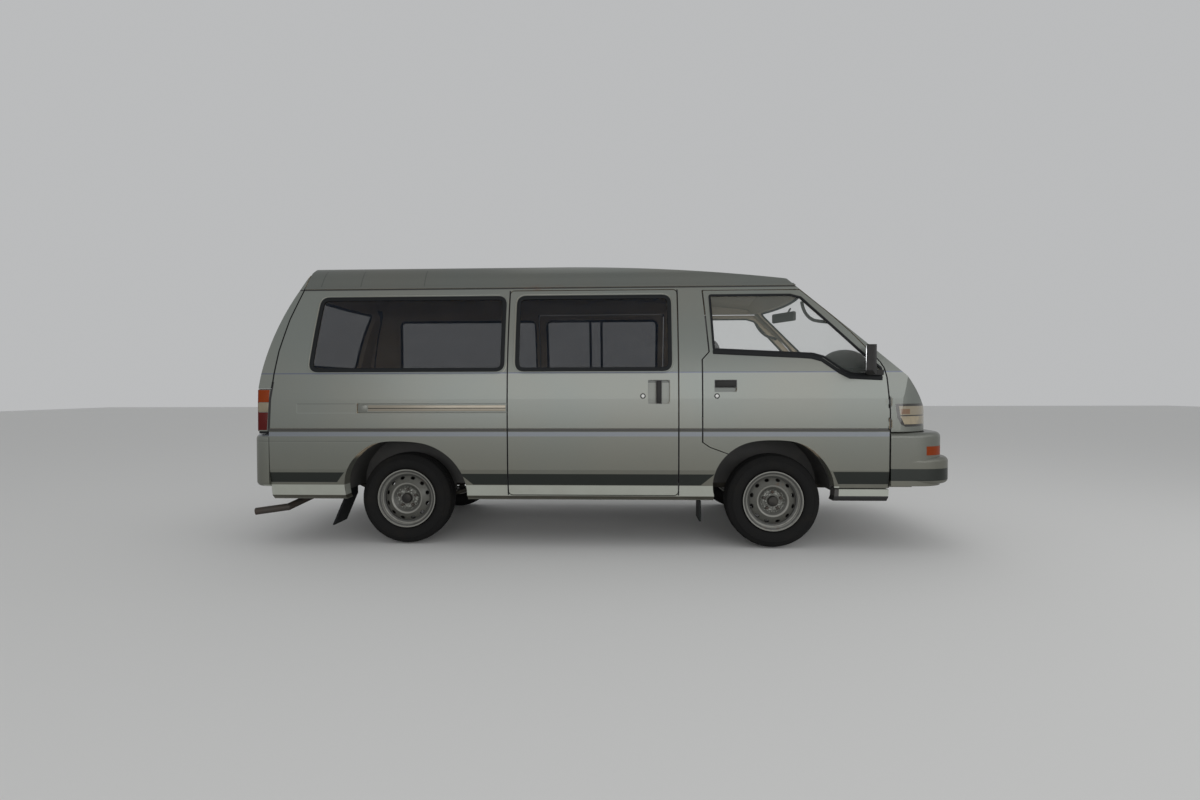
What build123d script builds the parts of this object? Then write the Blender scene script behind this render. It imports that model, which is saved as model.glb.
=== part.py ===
# Camper van, one-box body on 14 inch wheels.
# Millimetres, X forward, Y to the van's left, Z up, ground at Z = 0, X = 0 midway between the bumpers' ends.
import os
from math import cos, pi, radians, sin, sqrt
from build123d import *

os.makedirs("parts", exist_ok=True)

# Overall sizes
LENGTH = 4690.0
WHEELBASE = 2435.0
FRONT_OVERHANG = 1190.0
ROOF_Z = 1935.0
HALF_WIDTH = 845.0
AXLE_F = LENGTH / 2 - FRONT_OVERHANG
AXLE_R = AXLE_F - WHEELBASE
RIGHT, LEFT = -1, 1
SIDES = (("right", RIGHT), ("left", LEFT))

# Body surfaces
NOSE_X = AXLE_F + 1083
TAIL_X = AXLE_R - 1022
FRONT_BOW = 3300.0
REAR_BOW = 4500.0
CROWN_R = 3000.0
ROOF_R = 13300.0
ROOF_BREAK = AXLE_F - 1407
SILL_Z = 318.0
BELT_Z = 780.0
GUTTER_Z = 1716.0
NOSE_CORNER = 280.0
BROW_R = 420.0
TAIL_BROW_R = 90.0
TAIL_RISE = 90.0
WALL = 45.0
DEEP = 40.0
FLANGE = 12.0
FAR = 4000.0
SIDE_INNER = 400.0
FLANK = 1000.0
NOSE_HALF_ANGLE = 20.0
TAIL_HALF_ANGLE = 14.0

# Running gaps and fits
DOOR_GAP = 6.0
GLASS_FIT = 0.3
GLASS = 5.0
GLASS_INSET = 4.0
SEAT = 0.3


def side_section(inset, deep):
    """Y-Z section of the body up to straight roof sides, moved in by inset, and by deep more below the belt."""
    h = HALF_WIDTH - inset
    low = h - deep
    with BuildSketch(Plane.YZ) as section:
        with BuildLine():
            flank = Polyline((0, SILL_Z), (low - 60, SILL_Z), (low - 33, 345), (low - 5, 520), (low, BELT_Z))
            ledge = Line(flank @ 1, (h - 1, BELT_Z + 35)) if deep else flank
            waist = Polyline(ledge @ 1, (h - 3, 980), (h - 13, 1150))
            upper = ThreePointArc(waist @ 1, (h - 69, 1440), (h - 145, GUTTER_Z))
            Polyline(upper @ 1, (h - 158, 1785), (h - 185, 2050), (0, 2050), (0, SILL_Z))
        make_face()
        mirror(about=Plane.YZ)
    return section.sketch


def shoulder_cut(inset, side):
    """All that lies outside the round between a roof side and the crown."""
    h = HALF_WIDTH - inset
    with BuildPart() as cut:
        with BuildSketch(Plane.YZ) as section:
            with BuildLine():
                bend = ThreePointArc((side * (h - 158), 1785), (side * (h - 186), 1842), (side * (h - 245), 1878))
                Polyline(bend @ 1, (side * (h - 545), 1960), (side * (h - 545), 2100), (side * h, 2100),
                         (side * h, 1785), bend @ 0)
            make_face()
        extrude(section.sketch, amount=LENGTH, both=True)
    return cut.part


def upright_plane(axis_x, heading):
    """X-Z plane through an upright axis, its local X pointing outwards at heading degrees."""
    turn = radians(heading)
    return Plane(origin=(axis_x, 0, 0), x_dir=(cos(turn), sin(turn), 0), z_dir=(sin(turn), -cos(turn), 0))


def bowed_cut(profile, axis_x, heading, half_angle):
    """Solid outside a profile that turns round an upright axis, half_angle to each side of heading."""
    with BuildPart() as cut:
        with BuildSketch(upright_plane(axis_x, heading - half_angle)):
            with BuildLine():
                add(profile)
            make_face()
        revolve(axis=Axis((axis_x, 0, 0), (0, 0, 1)), revolution_arc=2 * half_angle)
    return cut.part


def nose_cut(inset, brow_only=False):
    """All that lies ahead of the nose and windscreen, or above the brow over the windscreen."""
    r = FRONT_BOW - inset
    kept = Mode.PRIVATE if brow_only else Mode.ADD
    with BuildLine() as profile:
        foot = Line((r + 12, 100), (r + 12, 832), mode=kept)
        lamp_face = ThreePointArc(foot @ 1, (r - 11, 893), (r - 42, 953), mode=kept)
        nose = ThreePointArc(lamp_face @ 1, (r - 91, 1041), (r - 146, 1123), mode=kept)
        screen = Line(nose @ 1, (r - 867, 1757), mode=kept)
        if brow_only:
            brow = JernArc(start=screen @ 1, tangent=screen % 1, radius=BROW_R, arc_size=33)
            Polyline(brow @ 1, brow @ 1 + (brow % 1) * 900, (r - 300, 2100), screen @ 1)
        else:
            Polyline(screen @ 1, screen @ 1 + (screen % 1) * 500, (r + 900, 2100), (r + 900, 100), foot @ 0)
    return bowed_cut(profile.line, NOSE_X - FRONT_BOW, 0, NOSE_HALF_ANGLE)


def tail_cut(inset, brow_only=False):
    """All that lies behind the tailgate's outer surface, or above the round over its top."""
    r = REAR_BOW - inset
    kept = Mode.PRIVATE if brow_only else Mode.ADD
    with BuildLine() as profile:
        foot = Line((r, 100), (r, 1037), mode=kept)
        back = ThreePointArc(foot @ 1, (r - 99, 1424), (r - 285, 1795), mode=kept)
        rise = Line(back @ 1, back @ 1 + (back % 1) * TAIL_RISE, mode=kept)
        if brow_only:
            brow = JernArc(start=rise @ 1, tangent=rise % 1, radius=TAIL_BROW_R, arc_size=50)
            Polyline(brow @ 1, brow @ 1 + (brow % 1) * 500, (r, 2100), rise @ 1)
        else:
            Polyline(rise @ 1, rise @ 1 + (back % 1) * 160, (r + 900, 2100), (r + 900, 100), foot @ 0)
    return bowed_cut(profile.line, TAIL_X + REAR_BOW, 180, TAIL_HALF_ANGLE)


def crown_limit(inset):
    """All that lies below the roof crown: level behind the break, falling gently ahead of it."""
    z = ROOF_Z - inset
    edge = HALF_WIDTH + 55
    drop = CROWN_R - sqrt(CROWN_R ** 2 - edge ** 2)
    with BuildPart() as limit:
        with BuildSketch(Plane.YZ.offset(ROOF_BREAK)) as section:
            with BuildLine():
                top = ThreePointArc((-edge, z - drop), (0, z), (edge, z - drop))
                Polyline(top @ 1, (edge, -200), (-edge, -200), top @ 0)
            make_face()
        extrude(amount=-FAR)
        revolve(section.sketch, axis=Axis((ROOF_BREAK, 0, ROOF_Z - ROOF_R), (0, 1, 0)), revolution_arc=14)
    return limit.part


def corner_cut(inset, side):
    """The nose's upright corner, outside a round that leaves the body side well behind the nose."""
    start = (NOSE_X - NOSE_CORNER - 60, side * (HALF_WIDTH + 2 - inset))
    with BuildPart() as cut:
        with BuildSketch():
            with BuildLine():
                bend = JernArc(start=start, tangent=(1, 0), radius=NOSE_CORNER - inset, arc_size=-side * 80)
                end = Line(bend @ 1, bend @ 1 + (bend % 1) * 330)
                Polyline(end @ 1, (NOSE_X + 300, (end @ 1).Y), (NOSE_X + 300, side * 1100),
                         (start[0], side * 1100), start)
            make_face()
        extrude(amount=GUTTER_Z)
    return cut.part


def envelope(inset=0.0, deep=0.0):
    """Whole body as a solid, its skin moved in by inset, and by deep more below the belt."""
    with BuildPart() as hull:
        extrude(side_section(inset, deep), amount=LENGTH / 2, both=True)
        add(nose_cut(inset), mode=Mode.SUBTRACT)
        add(tail_cut(inset), mode=Mode.SUBTRACT)
        for _, side in SIDES:
            add(corner_cut(inset, side), mode=Mode.SUBTRACT)
            add(shoulder_cut(inset, side), mode=Mode.SUBTRACT)
        add(crown_limit(inset), mode=Mode.INTERSECT)
        add(nose_cut(inset, brow_only=True), mode=Mode.SUBTRACT)
        add(tail_cut(inset, brow_only=True), mode=Mode.SUBTRACT)
    return hull.part


def prism(outline, low, high, rounding=0.0, grow=0.0):
    """Solid over an X-Z outline, from Y = low to Y = high."""
    with BuildPart() as solid:
        with BuildSketch(Plane.XZ.offset(-low)) as face:
            with BuildLine():
                Polyline(*outline, close=True)
            make_face()
            if rounding:
                fillet(face.vertices(), rounding)
            if grow:
                offset(amount=grow)
        extrude(amount=low - high)
    return solid.part


def side_prism(outline, side, rounding=0.0, grow=0.0, inner=SIDE_INNER):
    """The same through one side wall."""
    low, high = (inner, FLANK) if side == LEFT else (-FLANK, -inner)
    return prism(outline, low, high, rounding, grow)


def ahead(base, table):
    """X-Z points given as distances ahead of base."""
    return [(base + x, z) for x, z in table]


def block(x0, x1, y0, y1, z0, z1):
    """Plain block between two corners."""
    with BuildPart(Plane.XY.offset(z0)) as solid:
        with Locations(((x0 + x1) / 2, (y0 + y1) / 2)):
            Box(x1 - x0, y1 - y0, z1 - z0, align=(Align.CENTER, Align.CENTER, Align.MIN))
    return solid.part


def arch_prism(base, table, low, high, grow=0.0):
    """Wheel arch opening, spread outwards by grow: one smooth curve over straight feet."""
    spread = [1 + grow / sqrt(x * x + (z - 330) ** 2) for x, z in table]
    arch = ahead(base, [(x * k, 330 + (z - 330) * k) for k, (x, z) in zip(spread, table)])
    rear_foot, front_foot = arch[0], arch[-1]
    with BuildPart() as solid:
        with BuildSketch(Plane.XZ.offset(-low)):
            with BuildLine():
                Line((rear_foot[0], 100), rear_foot)
                Spline(*arch)
                Polyline(front_foot, (front_foot[0], 100), (rear_foot[0], 100))
            make_face()
        extrude(amount=low - high)
    return solid.part


def save(piece, name):
    piece.label = name
    export_step(piece, f"parts/{name}.step")


def across(side, inner_y, outer_y):
    """Y limits of a strip that lies on one side of the van."""
    return sorted((side * inner_y, side * outer_y))


def rod(origin, direction, radius, length):
    """Round bar from origin along direction."""
    with BuildPart() as bar:
        with BuildSketch(Plane(origin=origin, z_dir=direction)):
            Circle(radius)
        extrude(amount=length)
    return bar.part


# Outlines in side view: distance ahead of the named axle, height
DOOR = ahead(AXLE_F, [(-452, 1692), (-420, 1281), (-465, 1232), (-465, 700), (-418, 668), (-250, 606), (-250, 404),
                      (715, 404), (715, 900), (697, 1109), (681, 1172), (659, 1211), (602, 1276), (487, 1407),
                      (369, 1523), (278, 1607), (183, 1692)])
DOOR_WINDOW = ahead(AXLE_F, [(-410, 1660), (-393, 1294), (160, 1265), (236, 1261), (300, 1242), (405, 1165),
                             (467, 1133), (672, 1122), (662, 1180), (552, 1276), (233, 1590), (185, 1640), (120, 1660)])
SLIDING_DOOR = ahead(AXLE_F, [(-1725, 352), (-1725, 1700), (-617, 1700), (-617, 352)])
SLIDING_WINDOW = ahead(AXLE_F, [(-1669, 1165), (-1669, 1658), (-665, 1658), (-665, 1165)])
REAR_WINDOW = ahead(AXLE_R, [(-602, 1165), (-560, 1658), (683, 1658), (683, 1165)])
TAIL_SEAM = ahead(AXLE_R, [(-660, 1830), (-705, 1693), (-767, 1513), (-817, 1302), (-845, 1096), (-864, 978)])
# Points along each wheel arch, from its rear foot to its front foot
FRONT_ARCH = [(-388, 351), (-348, 574), (-215, 683), (-10, 714), (170, 687), (295, 590), (378, 371)]
REAR_ARCH = [(-375, 361), (-324, 569), (-182, 684), (0, 705), (190, 680), (333, 593), (437, 371)]
# Shallow recesses behind the door handles, with the handle that crosses each one
DOOR_RECESS = ahead(AXLE_F, [(-389, 1023), (-389, 1100), (-246, 1100), (-246, 1023)])
DOOR_GRIP = ahead(AXLE_F, [(-392, 1052), (-392, 1104), (-242, 1104), (-242, 1052)])
SLIDING_RECESS = ahead(AXLE_F, [(-814, 947), (-814, 1101), (-673, 1101), (-673, 947)])
SLIDING_GRIP = ahead(AXLE_F, [(-763, 943), (-763, 1105), (-725, 1105), (-725, 943)])
RECESS_DEPTH = 22.0
# Track of the sliding door: a groove round its cover, behind the door
TRACK = ahead(AXLE_F, [(-2716, 890), (-2716, 953), (-1700, 953), (-1700, 890)])
TRACK_COVER = ahead(AXLE_F, [(-2709, 897), (-2709, 946), (-1690, 946), (-1690, 897)])
# Mouldings that stand proud of the body sides
PROUD = 7.0
GUTTER = (1723.0, 1737.0)
BELT_TRIM = (771.0, 789.0)
WINDOW_ROUND = 55.0
PANE_ROUND = 15.0
SEAM_F = AXLE_F + 718
SEAM_R = AXLE_R - 870
CORNER_Y = 622.0
LAMP_TOP = 1046.0
TAIL_HINGE = (TAIL_X + 309, 1833)
TAIL_HINGE_Y = 200.0
DOOR_HINGE_X = AXLE_F + 715
DOOR_HINGE_Y = 845.0
DOOR_HINGE_Z = (800.0, 940.0)
KNUCKLE_R = 6.0
KNUCKLE = 36.0
HINGE_PIN = 3.0
PIN_GAP = 0.05
LUG = 16.0

outer = envelope()
inner = envelope(WALL, DEEP)
flange_line = envelope(FLANGE)
recess_line = envelope(RECESS_DEPTH)
proud_line = envelope(-PROUD)

glass_outer = envelope(GLASS_INSET)
glass_inner = envelope(GLASS_INSET + GLASS)

with BuildPart() as glass_sheet:
    add(glass_outer)
    add(glass_inner, mode=Mode.SUBTRACT)
with BuildPart() as wall:
    add(outer)
    add(inner, mode=Mode.SUBTRACT)
    add(block(-FAR, FAR, -650, 650, 0, 640), mode=Mode.SUBTRACT)
with BuildPart() as skin:
    add(outer)
    add(flange_line, mode=Mode.SUBTRACT)
with BuildPart() as lining:
    add(flange_line)
    add(inner, mode=Mode.SUBTRACT)
with BuildPart() as recess_layer:
    add(outer)
    add(recess_line, mode=Mode.SUBTRACT)
with BuildPart() as proud_band:
    add(proud_line)
    add(flange_line, mode=Mode.SUBTRACT)


def moulding(x0, x1, side, heights):
    """Strip of the proud layer on one side, rooted in the skin."""
    with BuildPart() as strip:
        add(proud_band.part)
        add(block(x0, x1, *across(side, 500, FLANK), *heights), mode=Mode.INTERSECT)
    return strip.part


def recess(outline, side, rounding):
    """Shallow pocket in one body side, following its surface."""
    with BuildPart() as pocket:
        add(recess_layer.part)
        add(side_prism(outline, side, rounding), mode=Mode.INTERSECT)
    return pocket.part


def skin_patch(outline, side, rounding):
    """Patch of the outer skin on one side."""
    with BuildPart() as patch:
        add(skin.part)
        add(side_prism(outline, side, rounding), mode=Mode.INTERSECT)
    return patch.part


tail_points = TAIL_SEAM + [(SEAM_R, 770), (-FAR, 770), (-FAR, 1830)]
cab_points = ahead(AXLE_F, [(378, 200), (FAR, 200), (FAR, GUTTER_Z - 1), (178, GUTTER_Z - 1), (178, 1650),
                            (600, 1000), (600, 404 - DOOR_GAP), (378, 404 - DOOR_GAP)])


def tail_zone(gap):
    """Space of the tailgate: over its whole width above the lamps, between them below."""
    with BuildPart() as zone:
        add(prism(tail_points, -FLANK, FLANK, grow=gap))
        for _, side in SIDES:
            low, high = sorted((side * (CORNER_Y + 6 + gap), side * FLANK))
            top = LAMP_TOP + DOOR_GAP / 2 - gap
            add(prism([(SEAM_R + 60, 700), (SEAM_R + 60, top), (-FAR - 50, top), (-FAR - 50, 700)], low, high),
                mode=Mode.SUBTRACT)
    return zone.part


def yz_prism(outline, x0, x1, rounding=0.0, grow=0.0):
    """Solid over a half outline in front view, mirrored about the centre, from X = x0 to X = x1."""
    with BuildPart() as solid:
        with BuildSketch(Plane.YZ.offset(x0)) as face:
            with BuildLine():
                Polyline(*outline, *[(-y, z) for y, z in reversed(outline)], close=True)
            make_face()
            if rounding:
                fillet(face.vertices(), rounding)
            if grow:
                offset(amount=grow)
        extrude(amount=x1 - x0)
    return solid.part


SCREEN = [(745, 1222), (604, 1692)]
BACKLIGHT = [(640, 1215), (570, 1700)]
LAMP_F = ahead(AXLE_F, [(746, 945), (759, 858), (781, 815), (812, 800), (FAR, 800), (FAR, 945)])
LAMP_R = [(AXLE_R - 936, 776), (AXLE_R - 936, LAMP_TOP), (-FAR, LAMP_TOP), (-FAR, 776)]

screen_zone = yz_prism(SCREEN, AXLE_F - 100, FAR, 60)
backlight_zone = yz_prism(BACKLIGHT, -FAR, AXLE_R - 500, 60)
cab_zone = prism(cab_points, -FLANK, FLANK)


def lamp_front_zone(side, grow=0.0):
    return prism(LAMP_F, *across(side, 385 - grow, FLANK), grow=grow)


def lamp_rear_zone(side, grow=0.0):
    return prism(LAMP_R, *across(side, CORNER_Y + 8 - grow, FLANK), grow=grow)


def hinge_span(axis_point, direction, start, length, radius):
    """Round bar on a hinge axis, from start along direction."""
    origin = tuple(c + d * start for c, d in zip(axis_point, direction))
    return rod(origin, direction, radius, length)


def hinge_lugs(axis_point, direction):
    """Fixed half of a hinge: a lug beyond each end of the knuckle, and the pin between them."""
    return (hinge_span(axis_point, direction, -LUG, LUG - SEAT, KNUCKLE_R)
            + hinge_span(axis_point, direction, KNUCKLE + SEAT, LUG - SEAT, KNUCKLE_R)
            + hinge_span(axis_point, direction, -LUG / 2, KNUCKLE + LUG, HINGE_PIN))


def hinge_bore(axis_point, direction):
    return hinge_span(axis_point, direction, -1, KNUCKLE + 2, HINGE_PIN + PIN_GAP)


def hinge_room(axis_point, direction, extra):
    """Room round a hinge, the knuckle's alone, or with extra also that of the lugs."""
    return hinge_span(axis_point, direction, -DOOR_GAP - extra, KNUCKLE + 2 * (DOOR_GAP + extra),
                      KNUCKLE_R + DOOR_GAP)


UP = (0, 0, 1)
ACROSS = (0, 1, 0)
door_hinges = {side: [(DOOR_HINGE_X, side * DOOR_HINGE_Y, z) for z in DOOR_HINGE_Z] for _, side in SIDES}
tail_hinges = [(TAIL_HINGE[0], side * TAIL_HINGE_Y - KNUCKLE / 2, TAIL_HINGE[1]) for _, side in SIDES]

# Body sides
for name, side in SIDES:
    with BuildPart() as side_panel:
        add(wall.part)
        add(block(-FAR, AXLE_F + 1200, *across(side, 300, FLANK), SILL_Z - 5, GUTTER_Z - 1), mode=Mode.INTERSECT)
        add(tail_zone(DOOR_GAP / 2), mode=Mode.SUBTRACT)
        add(block(-FAR, SEAM_R, -CORNER_Y, CORNER_Y, 0, 2000), mode=Mode.SUBTRACT)
        add(prism([(SEAM_R, 200), (SEAM_R, 772), (-FAR, 772), (-FAR, 200)], -FLANK, FLANK), mode=Mode.SUBTRACT)
        add(cab_zone, mode=Mode.SUBTRACT)
        add(block(AXLE_F, FAR, -FLANK, FLANK, 0, 450), mode=Mode.SUBTRACT)
        add(side_prism(DOOR, side, grow=DOOR_GAP / 2), mode=Mode.SUBTRACT)
        add(side_prism(SLIDING_DOOR, side, 30, DOOR_GAP / 2), mode=Mode.SUBTRACT)
        add(side_prism(REAR_WINDOW, side, WINDOW_ROUND), mode=Mode.SUBTRACT)
        add(lamp_rear_zone(side, SEAT), mode=Mode.SUBTRACT)
        add(arch_prism(AXLE_F, FRONT_ARCH, *across(side, 300, FLANK)), mode=Mode.SUBTRACT)
        add(arch_prism(AXLE_R, REAR_ARCH, *across(side, 300, FLANK)), mode=Mode.SUBTRACT)
        add(recess(TRACK, side, 0), mode=Mode.SUBTRACT)
        add(recess(TRACK_COVER, side, 0))
        add(side_prism(SLIDING_DOOR, side, 30, DOOR_GAP / 2), mode=Mode.SUBTRACT)
        add(moulding(TAIL_X + 150, AXLE_F - 1725 - 12, side, BELT_TRIM))
        add(moulding(AXLE_F - 617 + 12, AXLE_F - 465 - 12, side, BELT_TRIM))
    save(side_panel.part, f"side_panel_{name}")

with BuildPart() as roof:
    add(wall.part)
    add(block(-FAR, FAR, -FLANK, FLANK, GUTTER_Z - 1, 2100), mode=Mode.INTERSECT)
    add(tail_zone(DOOR_GAP / 2), mode=Mode.SUBTRACT)
    for axis_point in tail_hinges:
        add(hinge_room(axis_point, ACROSS, 0), mode=Mode.SUBTRACT)
        add(hinge_lugs(axis_point, ACROSS))
    for _, side in SIDES:
        add(moulding(TAIL_X + 330, AXLE_F + 160, side, GUTTER))
save(roof.part, "roof")

with BuildPart() as cab_front:
    add(wall.part)
    add(cab_zone, mode=Mode.INTERSECT)
    add(prism(DOOR, -FLANK, FLANK, grow=DOOR_GAP / 2), mode=Mode.SUBTRACT)
    add(screen_zone, mode=Mode.SUBTRACT)
    for _, side in SIDES:
        add(lamp_front_zone(side, SEAT), mode=Mode.SUBTRACT)
        for axis_point in door_hinges[side]:
            add(hinge_room(axis_point, UP, 0), mode=Mode.SUBTRACT)
            add(hinge_lugs(axis_point, UP))
    add(block(SEAM_F, FAR, -FLANK, FLANK, 0, 768), mode=Mode.SUBTRACT)
    add(block(-FAR, FAR, -FLANK, FLANK, 0, 404), mode=Mode.SUBTRACT)
    add(yz_prism([(370, 832), (370, 934)], NOSE_X - 60, FAR), mode=Mode.SUBTRACT)
save(cab_front.part, "cab_front")

with BuildPart() as grille:
    add(wall.part)
    add(yz_prism([(370, 832), (370, 934)], NOSE_X - 60, FAR, grow=-SEAT), mode=Mode.INTERSECT)
    for z in (852, 878, 904):
        add(yz_prism([(350, z), (350, z + 14)], NOSE_X - 60, FAR), mode=Mode.SUBTRACT)
save(grille.part, "grille")

with BuildPart() as windscreen:
    add(glass_sheet.part)
    add(yz_prism(SCREEN, AXLE_F - 100, FAR, 60, -GLASS_FIT), mode=Mode.INTERSECT)
save(windscreen.part, "windscreen")

with BuildPart() as headlamps:
    add(wall.part)
    add(lamp_front_zone(LEFT) + lamp_front_zone(RIGHT), mode=Mode.INTERSECT)
save(headlamps.part, "headlamps")

with BuildPart() as tail_lamps:
    add(wall.part)
    add(lamp_rear_zone(LEFT) + lamp_rear_zone(RIGHT), mode=Mode.INTERSECT)
save(tail_lamps.part, "tail_lamps")

# Sliding doors and side glass
for name, side in SIDES:
    with BuildPart() as sliding_door:
        add(wall.part)
        add(side_prism(SLIDING_DOOR, side, 30, -DOOR_GAP / 2), mode=Mode.INTERSECT)
        add(side_prism(SLIDING_WINDOW, side, WINDOW_ROUND), mode=Mode.SUBTRACT)
        add(recess(SLIDING_RECESS, side, 24), mode=Mode.SUBTRACT)
        add(skin_patch(SLIDING_GRIP, side, 0))
        add(moulding(AXLE_F - 1725 + 12, AXLE_F - 617 - 12, side, BELT_TRIM))
    save(sliding_door.part, f"sliding_door_{name}")


def pane(window, side, rounding):
    """Glass of a side window, a fit smaller than its opening."""
    with BuildPart() as sheet:
        add(glass_sheet.part)
        add(side_prism(window, side, rounding, -GLASS_FIT), mode=Mode.INTERSECT)
    return sheet.part


with BuildPart() as side_glass:
    for _, side in SIDES:
        add(pane(SLIDING_WINDOW, side, WINDOW_ROUND))
        add(pane(REAR_WINDOW, side, WINDOW_ROUND))
save(side_glass.part, "side_glass")


# Front doors
def door_layer(sheet, side, grow):
    """A layer of the front door: the part of a body sheet inside the door's outline."""
    with BuildPart() as layer:
        add(sheet)
        add(side_prism(DOOR, side, grow=grow), mode=Mode.INTERSECT)
    return layer.part


for name, side in SIDES:
    with BuildPart() as door:
        add(door_layer(lining.part, side, -DOOR_GAP / 2 - 9))
        add(door_layer(skin.part, side, -DOOR_GAP / 2))
        add(arch_prism(AXLE_F, FRONT_ARCH, *across(side, 300, FLANK)), mode=Mode.SUBTRACT)
        add(side_prism(DOOR_WINDOW, side, PANE_ROUND), mode=Mode.SUBTRACT)
        add(recess(DOOR_RECESS, side, 16), mode=Mode.SUBTRACT)
        add(skin_patch(DOOR_GRIP, side, 0))
        add(moulding(AXLE_F - 465 + 12, AXLE_F + 640, side, BELT_TRIM))
        for axis_point in door_hinges[side]:
            add(hinge_room(axis_point, UP, LUG), mode=Mode.SUBTRACT)
            add(hinge_span(axis_point, UP, 0, KNUCKLE, KNUCKLE_R))
            add(block(DOOR_HINGE_X - 26, DOOR_HINGE_X, *across(side, DOOR_HINGE_Y - KNUCKLE_R, DOOR_HINGE_Y - 1),
                      axis_point[2] + 4, axis_point[2] + KNUCKLE - 4))
            add(hinge_bore(axis_point, UP), mode=Mode.SUBTRACT)
    save(door.part, f"door_{name}")
    save(pane(DOOR_WINDOW, side, PANE_ROUND), f"door_glass_{name}")
    with BuildPart() as mirror_piece:
        with BuildSketch(Plane.YZ.offset(AXLE_F + 440)) as face:
            with BuildLine():
                Polyline((side * 862, 1135), (side * 858, 1300), (side * 900, 1318), (side * 1030, 1310),
                         (side * 1040, 1150), (side * 1010, 1130), close=True)
            make_face()
            fillet(face.vertices(), 12)
        extrude(amount=200)
        with BuildSketch(Plane.XY.offset(1100)):
            with BuildLine():
                Spline((AXLE_F + 604, side * 850), (AXLE_F + 592, side * 930), (AXLE_F + 560, side * 1000),
                       (AXLE_F + 524, side * 1042))
                Polyline((AXLE_F + 524, side * 1042), (AXLE_F + 488, side * 1042), (AXLE_F + 562, side * 850),
                         (AXLE_F + 604, side * 850))
            make_face()
        extrude(amount=240, mode=Mode.INTERSECT)
        add(block(AXLE_F + 566, AXLE_F + 660, *across(side, 826, 876), 1128, 1160))
        add(outer, mode=Mode.SUBTRACT)
    save(mirror_piece.part, f"mirror_{name}")

# Tailgate
with BuildPart() as tailgate:
    add(wall.part)
    add(tail_zone(-DOOR_GAP / 2), mode=Mode.INTERSECT)
    add(backlight_zone, mode=Mode.SUBTRACT)
    for axis_point in tail_hinges:
        add(hinge_room(axis_point, ACROSS, LUG), mode=Mode.SUBTRACT)
        add(hinge_span(axis_point, ACROSS, 0, KNUCKLE, KNUCKLE_R))
        add(block(axis_point[0] - 2, axis_point[0] + 14, axis_point[1] + 4, axis_point[1] + KNUCKLE - 4,
                  axis_point[2] - 24, axis_point[2]))
        add(hinge_bore(axis_point, ACROSS), mode=Mode.SUBTRACT)
save(tailgate.part, "tailgate")
with BuildPart() as tailgate_glass:
    add(glass_sheet.part)
    add(yz_prism(BACKLIGHT, -FAR, AXLE_R - 500, 60, -GLASS_FIT), mode=Mode.INTERSECT)
save(tailgate_glass.part, "tailgate_glass")

# Bumpers
BUMPER_WALL = 40.0
BUMPER_Z = 432.0
LEDGE_Z = 604.0
BUMPER_TOP = 762.0
LEDGE = 50.0
BUMPER_BOW = 43.0
BUMPER_EDGE = 30.0
MARK_X, MARK_Y = AXLE_F + 945, 560.0
MARK_Z = (617.0, 674.0)
BRACKET_IN, BRACKET_OUT = 335.0, 390.0


def front_plan(inset, setback, z0, z1, edges=()):
    """Front bumper's plan, raised from z0 to z1: along both flanks, round the corners, bowed across the front."""
    tip = LENGTH / 2 - setback - inset
    y = HALF_WIDTH - inset
    bow = BUMPER_BOW
    with BuildPart() as solid:
        with BuildSketch(Plane.XY.offset(z0)):
            with BuildLine():
                nose = ThreePointArc((tip - bow, -y + 175), (tip, 0), (tip - bow, y - 175))
                Spline(nose @ 1, (tip - bow - 245, y), tangents=[nose % 1, (-1, 0)])
                Polyline((tip - bow - 245, y), (SEAM_F + 3, y), (SEAM_F + 3, -y), (tip - bow - 245, -y))
                Spline((tip - bow - 245, -y), nose @ 0, tangents=[(1, 0), nose % 0])
            make_face()
        extrude(amount=z1 - z0)
        for z in edges:
            level = solid.edges().filter_by_position(Axis.Z, z - 1, z + 1)
            fillet(level.sort_by(Axis.X)[1:], BUMPER_EDGE)
    return solid.part


def front_shell():
    """The bumper's whole moulding, stepped back above the ledge and open inside."""
    with BuildPart() as shell:
        add(front_plan(0, 0, BUMPER_Z, LEDGE_Z, (BUMPER_Z, LEDGE_Z)))
        add(front_plan(0, LEDGE, BUMPER_Z - 10, BUMPER_TOP, (BUMPER_TOP,)))
        add(front_plan(BUMPER_WALL, LEDGE, 400, 800).moved(Location((-BUMPER_WALL, 0, 0))), mode=Mode.SUBTRACT)
        add(block(SEAM_F - 10, SEAM_F + 140, -HALF_WIDTH + BUMPER_WALL, HALF_WIDTH - BUMPER_WALL, 300, 900),
            mode=Mode.SUBTRACT)
    return shell.part


bumper_shell = front_shell()
with BuildPart() as front_bumper:
    add(bumper_shell)
    for _, side in SIDES:
        add(block(MARK_X, FAR, *across(side, MARK_Y, FLANK), *MARK_Z), mode=Mode.SUBTRACT)
        add(block(AXLE_F + 900 + SEAT, AXLE_F + 1060, *across(side, BRACKET_IN, BRACKET_OUT), 345, 500))
save(front_bumper.part, "front_bumper")

with BuildPart() as front_indicators:
    add(bumper_shell)
    add(block(MARK_X + SEAT, FAR, MARK_Y + SEAT, FLANK, MARK_Z[0] + SEAT, MARK_Z[1] - SEAT)
        + block(MARK_X + SEAT, FAR, -FLANK, -MARK_Y - SEAT, MARK_Z[0] + SEAT, MARK_Z[1] - SEAT), mode=Mode.INTERSECT)
save(front_indicators.part, "front_indicators")


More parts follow.
